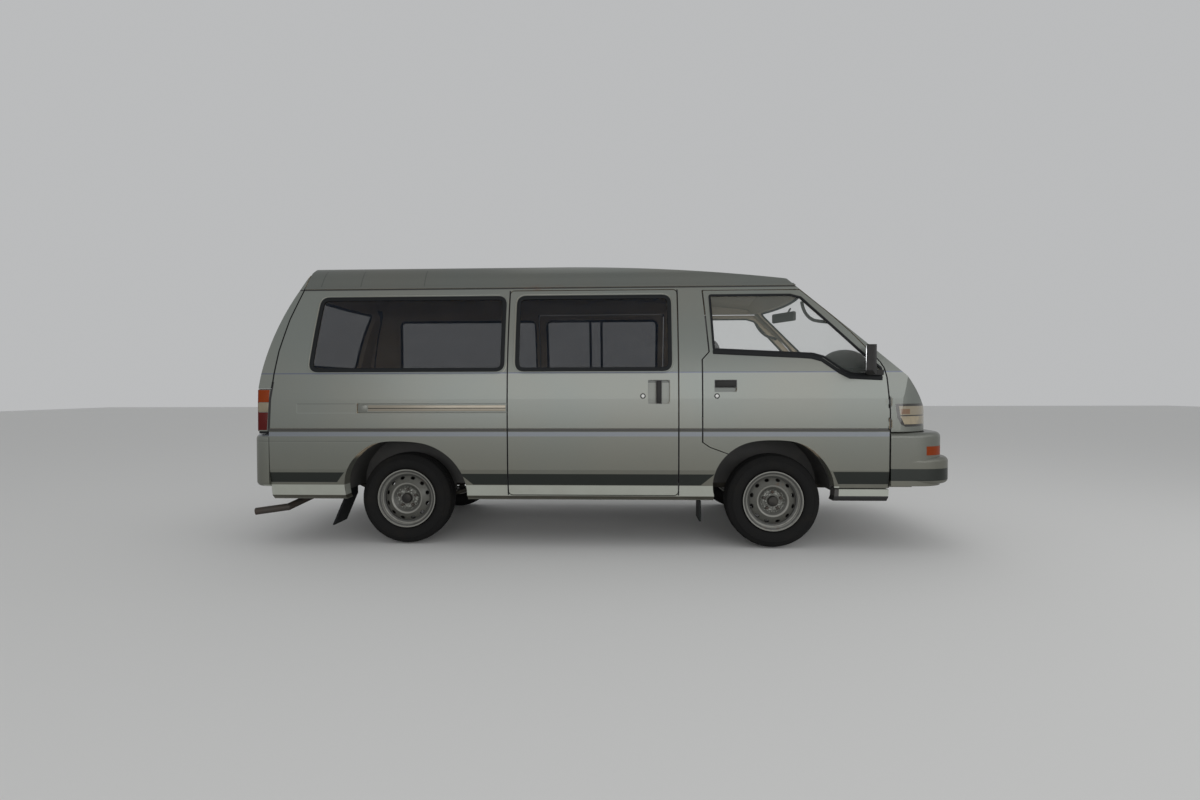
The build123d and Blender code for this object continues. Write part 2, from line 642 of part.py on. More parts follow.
def rear_plan(inset, z0, z1, edges=()):
    """Rear bumper's plan, raised from z0 to z1."""
    tip = -LENGTH / 2 + inset
    y = HALF_WIDTH - inset
    with BuildPart() as solid:
        with BuildSketch(Plane.XY.offset(z0)):
            with BuildLine():
                back = ThreePointArc((tip + 60, y - 110), (tip, 0), (tip + 60, -y + 110))
                Spline(back @ 1, (tip + 185, -y), tangents=[back % 1, (1, 0)])
                Polyline((tip + 185, -y), (SEAM_R - 3 + inset, -y), (SEAM_R - 3 + inset, y), (tip + 185, y))
                Spline((tip + 185, y), back @ 0, tangents=[(-1, 0), back % 0])
            make_face()
        extrude(amount=z1 - z0)
        for z in edges:
            level = solid.edges().filter_by_position(Axis.Z, z - 1, z + 1)
            fillet(level.sort_by(Axis.X)[:-1], BUMPER_EDGE)
    return solid.part


with BuildPart() as rear_bumper:
    add(rear_plan(0, 405, 750, (405, 750)))
    add(rear_plan(BUMPER_WALL, 400, 722), mode=Mode.SUBTRACT)
    add(block(SEAM_R - 60, SEAM_R, -HALF_WIDTH + BUMPER_WALL, HALF_WIDTH - BUMPER_WALL, 400, 722),
        mode=Mode.SUBTRACT)
    for _, side in SIDES:
        add(block(-LENGTH / 2 + 30, TAIL_X + 90 - SEAT, *across(side, BRACKET_IN, BRACKET_OUT), 490, 560))
save(rear_bumper.part, "rear_bumper")

# Floor: load floor, seat base over the front wheels and engine, footwell, with wheelhouses and door steps
FLOOR_Z = 600.0
SHEET = 30.0
BASE_Z = 752.0
FOOT_Z = 440.0
FLOOR_HALF = HALF_WIDTH - WALL - DEEP - SEAT
HOUSE_R = 480.0
HOUSE_F = 425.0
HOUSE_WALL = 15.0
HOUSE_SPREAD = 18.0
DOOR_CLEAR = 730.0
STEP_Z = 398.0
FLOOR_MAT = (AXLE_R + 700, AXLE_F - 520, -600.0, 600.0)
MAT_TOP = FLOOR_Z + 4

with BuildPart() as step_zone:
    for _, side in SIDES:
        add(block(AXLE_F + 378, SEAM_F, *across(side, 690, FLANK), SILL_Z - 5, STEP_Z))
with BuildPart() as steps:
    add(wall.part)
    add(step_zone.part, mode=Mode.INTERSECT)

with BuildPart() as floor:
    with BuildSketch(Plane.XZ.offset(-FLOOR_HALF)):
        with BuildLine():
            Polyline(*ahead(AXLE_F, [(430, BASE_Z), (-470, BASE_Z), (-470, FLOOR_Z)]), (TAIL_X + 70, FLOOR_Z),
                     (TAIL_X + 70, FLOOR_Z - SHEET),
                     *ahead(AXLE_F, [(-440, FLOOR_Z - SHEET), (-440, BASE_Z - SHEET), (400, BASE_Z - SHEET),
                                     (440, FOOT_Z - SHEET), (870, FOOT_Z - SHEET), (925, 640), (895, 655),
                                     (850, FOOT_Z), (470, FOOT_Z)]), close=True)
        make_face()
    extrude(amount=2 * FLOOR_HALF)
    for _, side in SIDES:
        for base, table, reach in ((AXLE_R, REAR_ARCH, HOUSE_R), (AXLE_F, FRONT_ARCH, HOUSE_F)):
            add(arch_prism(base, table, *across(side, reach - HOUSE_WALL, FLOOR_HALF), grow=HOUSE_SPREAD))
            add(arch_prism(base, table, *across(side, reach, FLANK)), mode=Mode.SUBTRACT)
        add(block(AXLE_F - 470, SEAM_F + 60, *across(side, DOOR_CLEAR, FLANK), SILL_Z, FAR), mode=Mode.SUBTRACT)
        add(block(SEAM_F, FAR, *across(side, 600, FLANK), SILL_Z, FAR), mode=Mode.SUBTRACT)
        add(block(-FAR, TAIL_X + 115, *across(side, 680, FLANK), SILL_Z, FAR), mode=Mode.SUBTRACT)
        add(block(AXLE_F - 60, AXLE_F + 60, *across(side, 400, FLANK), 0, 470), mode=Mode.SUBTRACT)
    add(envelope(WALL + SEAT, DEEP), mode=Mode.INTERSECT)
    add(block(-FAR, FAR, -FLANK, FLANK, 0, SILL_Z + 60), mode=Mode.SUBTRACT)
    add(steps.part)
    add(block(*FLOOR_MAT, FLOOR_Z - 1, MAT_TOP))
    for _, side in SIDES:
        add(block(AXLE_F + 470, AXLE_F + 690, *across(side, 560, 760), 345, STEP_Z - 6))
        add(block(AXLE_F + 470, AXLE_F + 690, *across(side, 560, 600), 345, FOOT_Z - SHEET + 5))
save(floor.part, "floor")

# Frame rails under the floor, with cross-members
RAIL_IN, RAIL_OUT = 330.0, 395.0
RAIL_DROP = 90.0
REAR_UNDER = FLOOR_Z - SHEET - SEAT
FRONT_UNDER = FOOT_Z - SHEET - SEAT
with BuildPart() as chassis_frame:
    for _, side in SIDES:
        add(prism([(TAIL_X + 90, REAR_UNDER), (AXLE_F - 480, REAR_UNDER), (AXLE_F - 380, FRONT_UNDER),
                   (AXLE_F + 900, FRONT_UNDER), (AXLE_F + 900, FRONT_UNDER - 70), (AXLE_F - 400, FRONT_UNDER - 70),
                   (AXLE_F - 500, REAR_UNDER - RAIL_DROP), (TAIL_X + 90, REAR_UNDER - RAIL_DROP)],
                  *across(side, RAIL_IN, RAIL_OUT)))
    for x in (TAIL_X + 120, AXLE_R + 520, AXLE_R + 1250):
        add(block(x, x + 60, -RAIL_IN, RAIL_IN, REAR_UNDER - 70, REAR_UNDER - 10))
    add(block(AXLE_F + 820, AXLE_F + 900, -RAIL_IN, RAIL_IN, FRONT_UNDER - 65, FRONT_UNDER - 5))
save(chassis_frame.part, "chassis_frame")

# Wheels
TYRE_R = 310.0
TYRE_HALF = 93.0
RIM_R = 178.0
FLANGE_R = 195.0
RIM_HALF = 78.0
BEAD_HALF = 64.0
BORE_R = 22.0
SPINDLE_GAP = 0.05
TRACK_F = 700.0
TRACK_R = 648.0
PCD = 114.3
NUTS = 5
VENTS = 12


def wheel_plane(base, side, track):
    """Plane at a wheel's centre, its local X up the tyre and its local Y outboard."""
    return Plane(origin=(base, side * track, TYRE_R), x_dir=(0, 0, 1), z_dir=(-side, 0, 0))


def tyre(base, side, track):
    """Tyre section turned about the axle: beads inside the rim's flanges, bulged walls, gently crowned tread."""
    bead = BEAD_HALF - SEAT
    with BuildPart() as piece:
        with BuildSketch(wheel_plane(base, side, track)):
            with BuildLine():
                Polyline((FLANGE_R + 3, -74), (FLANGE_R + 0.5, -bead), (RIM_R + SEAT, -bead), (RIM_R + SEAT, bead),
                         (FLANGE_R + 0.5, bead), (FLANGE_R + 3, 74))
                ThreePointArc((FLANGE_R + 3, 74), (246, TYRE_HALF), (292, 78))
                ThreePointArc((292, 78), (303, 70), (306, 58))
                ThreePointArc((306, 58), (TYRE_R, 0), (306, -58))
                ThreePointArc((306, -58), (303, -70), (292, -78))
                ThreePointArc((292, -78), (246, -TYRE_HALF), (FLANGE_R + 3, -74))
            make_face()
        revolve(axis=Axis((base, 0, TYRE_R), (0, 1, 0)))
    return piece.part


def rim(base, side, track):
    """Pressed steel wheel: dished disc with vents and nut holes, in a rim with a well and flanges."""
    hole = BORE_R + SPINDLE_GAP
    with BuildPart() as piece:
        with BuildSketch(wheel_plane(base, side, track)):
            with BuildLine():
                Polyline((hole, 34), (70, 34), (82, 44), (104, 58), (126, 44), (150, 30), (160, 30), (160, 44),
                         (RIM_R, 50), (RIM_R, BEAD_HALF), (RIM_R + 4, 66), (FLANGE_R, 66), (FLANGE_R, RIM_HALF),
                         (FLANGE_R - 5, RIM_HALF), (FLANGE_R - 5, 71), (171, 68), (171, 55), (153, 49), (153, 38),
                         (150, 38), (126, 54), (104, 68), (80, 54), (66, 42), (46, 42), (46, 52), (hole, 52),
                         close=True)
            make_face()
            with BuildLine():
                Polyline((153, 40), (160, 40), (160, -44), (RIM_R, -50), (RIM_R, -BEAD_HALF), (RIM_R + 4, -66),
                         (FLANGE_R, -66), (FLANGE_R, -RIM_HALF), (FLANGE_R - 5, -RIM_HALF), (FLANGE_R - 5, -71),
                         (171, -68), (171, -55), (153, -49), close=True)
            make_face()
        revolve(axis=Axis((base, 0, TYRE_R), (0, 1, 0)))
        with BuildSketch(Plane(origin=(base, side * track, TYRE_R), x_dir=(1, 0, 0), z_dir=(0, side, 0))):
            with PolarLocations(PCD / 2, NUTS, start_angle=90):
                Circle(7.0)
            with PolarLocations(137, VENTS, start_angle=15):
                SlotOverall(24, 17, rotation=90)
        extrude(amount=RIM_HALF, mode=Mode.SUBTRACT)
    return piece.part


for end, base, track in (("front", AXLE_F, TRACK_F), ("rear", AXLE_R, TRACK_R)):
    for name, side in SIDES:
        save(tyre(base, side, track), f"tyre_{end}_{name}")
        save(rim(base, side, track), f"rim_{end}_{name}")

# Steering knuckles with spindles and discs
KINGPIN_Y = 640.0
ARM_Z = 96.0


def turned(base, side, y0, radius, length, plane_z=TYRE_R):
    """Round bar along Y from y0 outboard."""
    return rod((base, side * y0, plane_z), (0, side, 0), radius, length)


for name, side in SIDES:
    with BuildPart() as knuckle:
        add(turned(AXLE_F, side, KINGPIN_Y - 15, 48, 55))
        add(turned(AXLE_F, side, KINGPIN_Y + 38, 118, 22))
        add(turned(AXLE_F, side, KINGPIN_Y + 58, 60, 30))
        add(turned(AXLE_F, side, KINGPIN_Y + 86, BORE_R, 26))
        add(rod((AXLE_F, side * KINGPIN_Y, TYRE_R - ARM_Z + 8), UP, 22, 2 * ARM_Z - 16))
        add(block(AXLE_F - 140, AXLE_F, *across(side, KINGPIN_Y - 52, KINGPIN_Y - 22), TYRE_R - 60, TYRE_R - 36))
        add(block(AXLE_F - 20, AXLE_F + 10, *across(side, KINGPIN_Y - 40, KINGPIN_Y), TYRE_R - 60, TYRE_R - 36))
    save(knuckle.part, f"knuckle_{name}")

with BuildPart() as front_suspension:
    low = TYRE_R - ARM_Z
    high = TYRE_R + ARM_Z
    inboard = RAIL_OUT + SEAT
    add(block(AXLE_F - 55, AXLE_F + 55, -RAIL_OUT, RAIL_OUT, low - 20, low + 45))
    for _, side in SIDES:
        add(block(AXLE_F - 26, AXLE_F + 26, *across(side, RAIL_OUT - 20, KINGPIN_Y + 24), low - 14, low + 8 - SEAT))
        add(block(AXLE_F - 22, AXLE_F + 22, *across(side, inboard, KINGPIN_Y + 24), high - 8 + SEAT, high + 12))
        add(block(AXLE_F - 30, AXLE_F + 30, *across(side, inboard, RAIL_OUT + 20), low - 14, high + 12))
        add(block(AXLE_F - 50, AXLE_F + 50, *across(side, RAIL_IN + 5, RAIL_OUT - 5), low + 40,
                  FRONT_UNDER - 70 - SEAT))
save(front_suspension.part, "front_suspension")

# Rear axle on leaf springs
LEAF_IN, LEAF_OUT = 405.0, 462.0
HUB_LENGTH = 66.0
with BuildPart() as rear_axle:
    add(turned(AXLE_R, LEFT, HUB_LENGTH - TRACK_R - 4, 40, 2 * (TRACK_R - HUB_LENGTH + 4)))
    add(turned(AXLE_R, LEFT, -75, 128, 150))
    for _, side in SIDES:
        add(turned(AXLE_R, side, TRACK_R - 62, 118, HUB_LENGTH))
        add(turned(AXLE_R, side, TRACK_R, 60, 33))
        add(turned(AXLE_R, side, TRACK_R + 33, BORE_R, 18))
        with BuildSketch(Plane.XZ.offset(-across(side, LEAF_IN, LEAF_OUT)[0])):
            with BuildLine():
                leaf = ThreePointArc((AXLE_R - 560, 440), (AXLE_R, TYRE_R - 60), (AXLE_R + 560, 440))
                Line(leaf @ 1, (AXLE_R + 560, 460))
                ThreePointArc((AXLE_R + 560, 460), (AXLE_R, TYRE_R - 36), (AXLE_R - 560, 460))
                Line((AXLE_R - 560, 460), leaf @ 0)
            make_face()
        extrude(amount=-(LEAF_OUT - LEAF_IN))
        for x in (AXLE_R - 590, AXLE_R + 530):
            add(block(x, x + 60, *across(side, RAIL_OUT + SEAT, LEAF_OUT), 430, REAR_UNDER))
save(rear_axle.part, "rear_axle")

# Engine under the seats, gearbox and propeller shaft
with BuildPart() as engine:
    add(block(AXLE_F - 330, AXLE_F + 250, -240, 240, 370, BASE_Z - SHEET - 40))
    add(block(AXLE_F - 900, AXLE_F - 330, -130, 130, 330, 520))
    add(rod((AXLE_R + 128 + SEAT, 0, TYRE_R + 60), (1, 0, 0), 32, WHEELBASE - 128 - SEAT - 890))
    for x in (AXLE_F - 30, AXLE_F + 150):
        add(block(x, x + 50, -RAIL_IN + SEAT, RAIL_IN - SEAT, 372, 402))
save(engine.part, "engine")

# Exhaust pipe and silencer, fuel tank
PIPE_Y, PIPE_Z = -235.0, 300.0
PIPE_R = 24.0
TAIL_PIPE = [(AXLE_R + 800, PIPE_Y, PIPE_Z), (AXLE_R + 480, PIPE_Y, PIPE_Z), (AXLE_R + 260, -290, 405),
             (AXLE_R - 330, -290, 405), (AXLE_R - 690, -350, 330), (AXLE_R - 850, -655, 236),
             (-LENGTH / 2 + 5, -690, 210)]
with BuildPart() as exhaust:
    add(rod((AXLE_R + 470, PIPE_Y, PIPE_Z), (1, 0, 0), PIPE_R, 1130))
    for start, end in zip(TAIL_PIPE, TAIL_PIPE[1:]):
        run = Vector(*end) - Vector(*start)
        add(rod(start, run, PIPE_R, run.length))
    for corner in TAIL_PIPE[1:-1]:
        with Locations(corner):
            Sphere(PIPE_R)
    add(rod(TAIL_PIPE[-1], Vector(*TAIL_PIPE[-2]) - Vector(*TAIL_PIPE[-1]), PIPE_R - 4, 70), mode=Mode.SUBTRACT)
    add(block(AXLE_R - 250, AXLE_R - 230, -300, -280, 405, REAR_UNDER))
    with BuildSketch(Plane.YZ.offset(AXLE_R + 770)):
        with Locations((PIPE_Y, PIPE_Z)):
            SlotOverall(230, 130)
    extrude(amount=480)
    for x in (AXLE_R + 540, AXLE_R + 1270):
        add(block(x, x + 20, PIPE_Y - 10, PIPE_Y + 10, PIPE_Z, REAR_UNDER - 70 - SEAT))
save(exhaust.part, "exhaust")
with BuildPart() as fuel_tank:
    add(block(AXLE_R + 600, AXLE_R + 1180, 60, 310, 330, REAR_UNDER - 75))
    fillet(fuel_tank.edges().filter_by(Axis.X), 30)
    for x in (AXLE_R + 640, AXLE_R + 1060):
        add(block(x, x + 40, 80, 290, REAR_UNDER - 90, REAR_UNDER))
save(fuel_tank.part, "fuel_tank")

# Cab: dashboard, steering wheel, seats
with BuildPart() as dashboard:
    half = 745.0
    with BuildSketch(Plane.XZ.offset(-half)):
        with BuildLine():
            Polyline(*ahead(AXLE_F, [(610, 860), (570, 900), (560, 1090), (600, 1150), (690, 1165), (850, 1160),
                                     (900, 1120), (930, 900)]), close=True)
        make_face()
    extrude(amount=2 * half)
    add(block(AXLE_F + 585, AXLE_F + 720, -560, -190, 1120, 1225))
    add(envelope(WALL + DOOR_GAP, DEEP), mode=Mode.INTERSECT)
    for _, side in SIDES:
        add(block(AXLE_F + 896, AXLE_F + 912, *across(side, 300, 340), 655 - 0.5 + SEAT, 910))
save(dashboard.part, "dashboard")

WHEEL_HUB = (AXLE_F + 400, -370, 1120)
COLUMN_TILT = radians(32)
COLUMN = 330.0
with BuildPart() as steering_wheel:
    column_dir = (-sin(COLUMN_TILT), 0, cos(COLUMN_TILT))
    across_dir = (cos(COLUMN_TILT), 0, sin(COLUMN_TILT))
    plane = Plane(origin=WHEEL_HUB, x_dir=across_dir, z_dir=column_dir)
    with BuildSketch(Plane(origin=WHEEL_HUB, x_dir=across_dir, z_dir=(0, -1, 0))):
        with Locations((186, 0)):
            Circle(14)
    revolve(axis=Axis(WHEEL_HUB, column_dir))
    with BuildSketch(plane):
        Circle(42)
        for angle in (90, 210, 330):
            with Locations(Location((0, 0), angle)):
                Rectangle(175, 32, align=(Align.MIN, Align.CENTER))
    extrude(amount=10, both=True)
    with BuildSketch(plane):
        Circle(24)
    extrude(amount=-COLUMN)
    add(block(AXLE_F + 490, AXLE_F + 567 - SEAT, -400, -340, 900, 960))
save(steering_wheel.part, "steering_wheel")

CUSHION = ahead(AXLE_F, [(-260, BASE_Z + SEAT), (230, BASE_Z + SEAT), (250, 900), (235, 935), (-200, 915),
                         (-345, 1400), (-425, 1400), (-300, 860)])
HEADREST = ahead(AXLE_F, [(-345, 1390), (-372, 1560), (-440, 1560), (-425, 1390)])
with BuildPart() as front_seats:
    for _, side in SIDES:
        low, high = across(side, 120, 640)
        add(prism(CUSHION, low, high))
        add(prism(HEADREST, (low + high) / 2 - 120, (low + high) / 2 + 120))
save(front_seats.part, "front_seats")

# Camper fittings: bed box with mattress
BED_Z = 940.0
with BuildPart() as bed_box:
    add(block(TAIL_X + 190, AXLE_R + 560, -HOUSE_R + 30, HOUSE_R - 30, FLOOR_Z + SEAT, BED_Z))
    add(block(TAIL_X + 220, AXLE_R + 540, -HOUSE_R + 50, HOUSE_R - 50, FLOOR_Z + 20, BED_Z - 20), mode=Mode.SUBTRACT)
    add(block(TAIL_X + 150, TAIL_X + 260, -260, 260, FLOOR_Z + 60, BED_Z - 60), mode=Mode.SUBTRACT)
    add(block(TAIL_X + 190, AXLE_R + 640, -FLOOR_HALF + 25, FLOOR_HALF - 25, BED_Z, BED_Z + 18))
save(bed_box.part, "bed_box")
with BuildPart() as mattress:
    add(block(TAIL_X + 200, AXLE_R + 620, -FLOOR_HALF + 35, FLOOR_HALF - 35, BED_Z + 18 + SEAT, BED_Z + 110))
    fillet(mattress.edges(), 20)
save(mattress.part, "mattress")

# Mud flaps
FLAP_SPLIT = SILL_Z - 6
with BuildPart() as mud_flaps:
    for _, side in SIDES:
        add(prism(ahead(AXLE_R, [(-420, FLAP_SPLIT + 6), (-408, FLAP_SPLIT + 6), (-490, 130), (-502, 130)]),
                  *across(side, TRACK_R - 100, TRACK_R + 90)))
        add(block(AXLE_R - 420, AXLE_R - 408, *across(side, TRACK_R - 100, TRACK_R + 40), FLAP_SPLIT, 470))
        add(block(AXLE_R - 420, AXLE_R - 380, *across(side, RAIL_OUT + SEAT, TRACK_R + 40), 460, 510))
        add(arch_prism(AXLE_R, REAR_ARCH, *across(side, HOUSE_R - HOUSE_WALL - SEAT, FLANK), grow=HOUSE_SPREAD + SEAT),
            mode=Mode.SUBTRACT)
        add(block(AXLE_F - 480, AXLE_F - 468, *across(side, TRACK_F - 95, TRACK_F + 85), 178, FLAP_SPLIT))
        add(block(AXLE_F - 480, AXLE_F - 468, *across(side, TRACK_F - 95, TRACK_F - 10), FLAP_SPLIT, 530))
        add(block(AXLE_F - 520, AXLE_F - 468, *across(side, RAIL_OUT + SEAT, TRACK_F - 10), 520, REAR_UNDER))
save(mud_flaps.part, "mud_flaps")

# Tow bar below the rear cross-member
TONGUE_Z = 400.0
PIN_BORE = 11.0
with BuildPart() as tow_bar:
    add(block(TAIL_X + 110, TAIL_X + 180, -RAIL_IN + SEAT, RAIL_IN - SEAT, TONGUE_Z - 40, TONGUE_Z + 20))
    for _, side in SIDES:
        add(block(TAIL_X + 122, TAIL_X + 178, *across(side, RAIL_IN - 30, RAIL_IN - SEAT), TONGUE_Z - 40,
                  REAR_UNDER - 70 - SEAT))
    with BuildSketch(Plane.XY.offset(TONGUE_Z - 40)):
        with BuildLine():
            Polyline((TAIL_X + 115, -45), (TAIL_X + 115, 45), (TAIL_X + 20, 32), (TAIL_X + 20, -32), close=True)
        make_face()
        with Locations((TAIL_X + 20, 0)):
            Circle(32)
        with Locations((TAIL_X + 20, 0)):
            Circle(PIN_BORE, mode=Mode.SUBTRACT)
    extrude(amount=16)
save(tow_bar.part, "tow_bar")
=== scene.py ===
"""Camper van: paint, glass, trim and fittings over the van's frame, on a pale floor in soft light."""
import math

import bpy
from mathutils import Matrix, Vector


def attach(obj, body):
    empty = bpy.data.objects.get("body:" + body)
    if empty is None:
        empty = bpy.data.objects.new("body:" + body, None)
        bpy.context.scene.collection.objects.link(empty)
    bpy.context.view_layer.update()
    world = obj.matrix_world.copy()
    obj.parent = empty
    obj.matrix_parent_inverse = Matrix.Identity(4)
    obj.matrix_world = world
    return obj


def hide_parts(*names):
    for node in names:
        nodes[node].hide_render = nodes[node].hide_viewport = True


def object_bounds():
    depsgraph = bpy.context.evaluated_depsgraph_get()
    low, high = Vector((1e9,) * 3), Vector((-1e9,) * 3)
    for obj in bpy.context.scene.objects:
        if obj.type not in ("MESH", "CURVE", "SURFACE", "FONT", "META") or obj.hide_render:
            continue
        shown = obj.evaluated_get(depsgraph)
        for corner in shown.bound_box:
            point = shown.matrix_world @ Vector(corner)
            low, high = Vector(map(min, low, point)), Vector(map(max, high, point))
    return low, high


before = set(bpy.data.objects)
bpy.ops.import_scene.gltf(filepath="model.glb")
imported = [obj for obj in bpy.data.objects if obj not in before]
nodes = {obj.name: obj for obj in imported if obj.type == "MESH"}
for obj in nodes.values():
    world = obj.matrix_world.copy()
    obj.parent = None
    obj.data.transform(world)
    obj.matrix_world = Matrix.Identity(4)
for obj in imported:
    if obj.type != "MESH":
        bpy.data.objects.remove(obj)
cad_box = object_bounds()

# Main lengths in metres: both axles, the wheels' centre height, the tail's X and half the body's width
AXLE_F = 1.155
AXLE_R = -1.280
WHEEL_Z = 0.310
TAIL_X = -2.302
HALF_WIDTH = 0.845


def deselect():
    if bpy.context.object and bpy.context.object.mode != "OBJECT":
        bpy.ops.object.mode_set(mode="OBJECT")
    bpy.ops.object.select_all(action="DESELECT")


deselect()


# ---- materials
EDGE_BLUR = 0.0008
BODY_MIDDLE = (0.0, 0.0, 1.0)
COAT_ROUGHNESS = 0.15


def node(tree, kind, inputs=(), **settings):
    """A shader node with its properties set and its inputs filled or linked."""
    made = tree.nodes.new(kind)
    for key, value in settings.items():
        setattr(made, key, value)
    for key, value in dict(inputs).items():
        if isinstance(value, bpy.types.NodeSocket):
            tree.links.new(value, made.inputs[key])
        else:
            made.inputs[key].default_value = value
    return made


def maths(tree, operation, a, b=0.0, c=0.0):
    return node(tree, "ShaderNodeMath", {0: a, 1: b, 2: c}, operation=operation).outputs[0]


def times(tree, a, b):
    return maths(tree, "MULTIPLY", a, b)


def blend_colour(tree, factor, a, b):
    return node(tree, "ShaderNodeMix", {0: factor, 6: a, 7: b}, data_type="RGBA").outputs[2]


def tint(tree, colour, mask, tone, amount=None):
    """The colour with a tone laid over it where the mask is, wholly or in some amount."""
    return blend_colour(tree, mask if amount is None else times(tree, mask, amount), colour, tone)


def smooth_range(tree, value, low, high):
    given = {"Value": value, "From Min": low, "From Max": high}
    return node(tree, "ShaderNodeMapRange", given, interpolation_type="SMOOTHSTEP").outputs["Result"]


def object_place(tree):
    return tree.nodes.new("ShaderNodeTexCoord").outputs["Object"]


def along_axes(tree):
    """Place on the piece along X, Y and Z."""
    return node(tree, "ShaderNodeSeparateXYZ", {0: object_place(tree)}).outputs


def begin_group(name, output, kind, **inputs):
    """A node group with its inputs of one kind and its one output, and the sockets and node at its ends."""
    group = bpy.data.node_groups.new(name, "ShaderNodeTree")
    for key, value in inputs.items():
        group.interface.new_socket(name=key, in_out="INPUT", socket_type=kind).default_value = value
    group.interface.new_socket(name=output, in_out="OUTPUT", socket_type="NodeSocketFloat")
    return group, group.nodes.new("NodeGroupInput").outputs, group.nodes.new("NodeGroupOutput")


def make_band_group():
    """Mask of a level band on the body, from Low to High and From to To, its two ends leaning as it rises."""
    group, given, out = begin_group("level_band", "Band", "NodeSocketFloat",
                                    Low=0.0, High=0.1, From=-9.0, To=9.0, Lean=0.0)
    place = along_axes(group)
    x, z = place["X"], place["Z"]

    def moved(value, by):
        return maths(group, "ADD", value, by)

    above = smooth_range(group, z, moved(given["Low"], -EDGE_BLUR), moved(given["Low"], EDGE_BLUR))
    below = smooth_range(group, z, moved(given["High"], EDGE_BLUR), moved(given["High"], -EDGE_BLUR))
    reach = times(group, maths(group, "SUBTRACT", z, given["Low"]), given["Lean"])
    after = moved(maths(group, "SUBTRACT", x, given["From"]), reach)
    before = moved(maths(group, "SUBTRACT", given["To"], x), reach)
    inside = times(group, *(smooth_range(group, end, -EDGE_BLUR, EDGE_BLUR) for end in (after, before)))
    group.links.new(times(group, times(group, above, below), inside), out.inputs["Band"])
    return group


def make_lining_group():
    """Mask of the faces that look towards Middle, which the lining covers."""
    group, given, out = begin_group("inner_faces", "Inside", "NodeSocketVector", Middle=BODY_MIDDLE)
    place = group.nodes.new("ShaderNodeTexCoord").outputs
    away = node(group, "ShaderNodeVectorMath", {0: place["Object"], 1: given["Middle"]}, operation="SUBTRACT")
    facing = node(group, "ShaderNodeVectorMath", {0: away.outputs["Vector"], 1: place["Normal"]},
                  operation="DOT_PRODUCT")
    group.links.new(smooth_range(group, facing.outputs["Value"], -0.02, -0.12), out.inputs["Inside"])
    return group


def make_dust_group():
    """Uneven film of dust: stronger low on the body, broken up by noise."""
    group, given, out = begin_group("road_dust", "Dust", "NodeSocketFloat", Top=0.8, Amount=0.3, Scale=6.0)
    low = smooth_range(group, along_axes(group)["Z"], given["Top"], 0.15)
    broken = smooth_range(group, noise(group, given["Scale"], 6.0, 0.65), 0.35, 0.75)
    group.links.new(times(group, times(group, low, broken), given["Amount"]), out.inputs["Dust"])
    return group


def noise(tree, scale, detail=4.0, roughness=0.5, stretch=None):
    place = object_place(tree)
    if stretch:
        place = node(tree, "ShaderNodeMapping", {"Vector": place, "Scale": stretch}).outputs[0]
    given = {"Vector": place, "Scale": scale, "Detail": detail, "Roughness": roughness}
    return node(tree, "ShaderNodeTexNoise", given).outputs["Fac"]


BAND = make_band_group()
DUST = make_dust_group()
LINING = make_lining_group()


def from_group(tree, group, **given):
    return node(tree, "ShaderNodeGroup", given, node_tree=group).outputs[0]


def band(tree, low, high, start=-9.0, end=9.0, lean=0.0):
    return from_group(tree, BAND, Low=low, High=high, From=start, To=end, Lean=lean)


def dust(tree, top, amount, scale=6.0):
    return from_group(tree, DUST, Top=top, Amount=amount, Scale=scale)


def material(name, roughness=0.5, metallic=0.0, coat=0.0, specular=0.5):
    made = bpy.data.materials.new(name)
    made.use_nodes = True
    shader = made.node_tree.nodes["Principled BSDF"]
    for key, value in (("Roughness", roughness), ("Metallic", metallic), ("Coat Weight", coat),
                       ("Coat Roughness", COAT_ROUGHNESS), ("Specular IOR Level", specular)):
        shader.inputs[key].default_value = value
    return made, made.node_tree, shader


def feed(tree, shader, colour, roughness):
    tree.links.new(colour, shader.inputs["Base Color"])
    tree.links.new(roughness, shader.inputs["Roughness"])


def bump(tree, shader, height, strength, distance):
    made = node(tree, "ShaderNodeBump", {"Height": height, "Strength": strength, "Distance": distance})
    tree.links.new(made.outputs["Normal"], shader.inputs["Normal"])


SILVER = (0.158, 0.173, 0.158, 1)
SILVER_WARM = (0.170, 0.174, 0.152, 1)
FLAKE_AND_HIGHLIGHT = (0.30, 0.32, 0.30, 1)
STRIPE = (0.006, 0.009, 0.006, 1)
SILL_SILVER = (0.370, 0.385, 0.340, 1)
CREASE_SHADE_BLUE = (0.085, 0.100, 0.150, 1)
BELT_HIGHLIGHT_BLUE = (0.215, 0.240, 0.290, 1)
LINING_GREY = (0.520, 0.425, 0.300, 1)
DUST_COLOUR = (0.20, 0.18, 0.14, 1)
# Tone of the painted shade low on the sides
LOW_SHADE_COLOUR = (0.088, 0.084, 0.060, 1)
SEAM_AND_SHADE_GREY = (0.055, 0.060, 0.055, 1)
UNDER_AND_SHADE_BLACK = (0.012, 0.012, 0.012, 1)
TRIM_AND_SHADOW_BLACK = (0.018, 0.018, 0.018, 1)
RUST = (0.120, 0.050, 0.020, 1)
# Stripe low on the sides: low, high, the X of its two ends and how far they lean
STRIPES = ((0.434, 0.500, -2.40, -1.706, 0.80), (0.420, 0.493, -0.800, 0.680, 1.20),
           (0.432, 0.512, 1.552, 2.40, 0.45))
# Thin dark lines pressed into the sides, and painted highlights beside pressed lines: low, high, start, end
SEAMS = ((0.7030, 0.7070, -2.26, -1.46), (0.9490, 0.9525, -1.960, -1.570))
HIGHLIGHTS = ((0.8895, 0.8920, -1.960, -1.570), (0.892, 0.949, -1.9630, -1.9600),
              (0.6995, 0.7025, -2.26, -1.46))
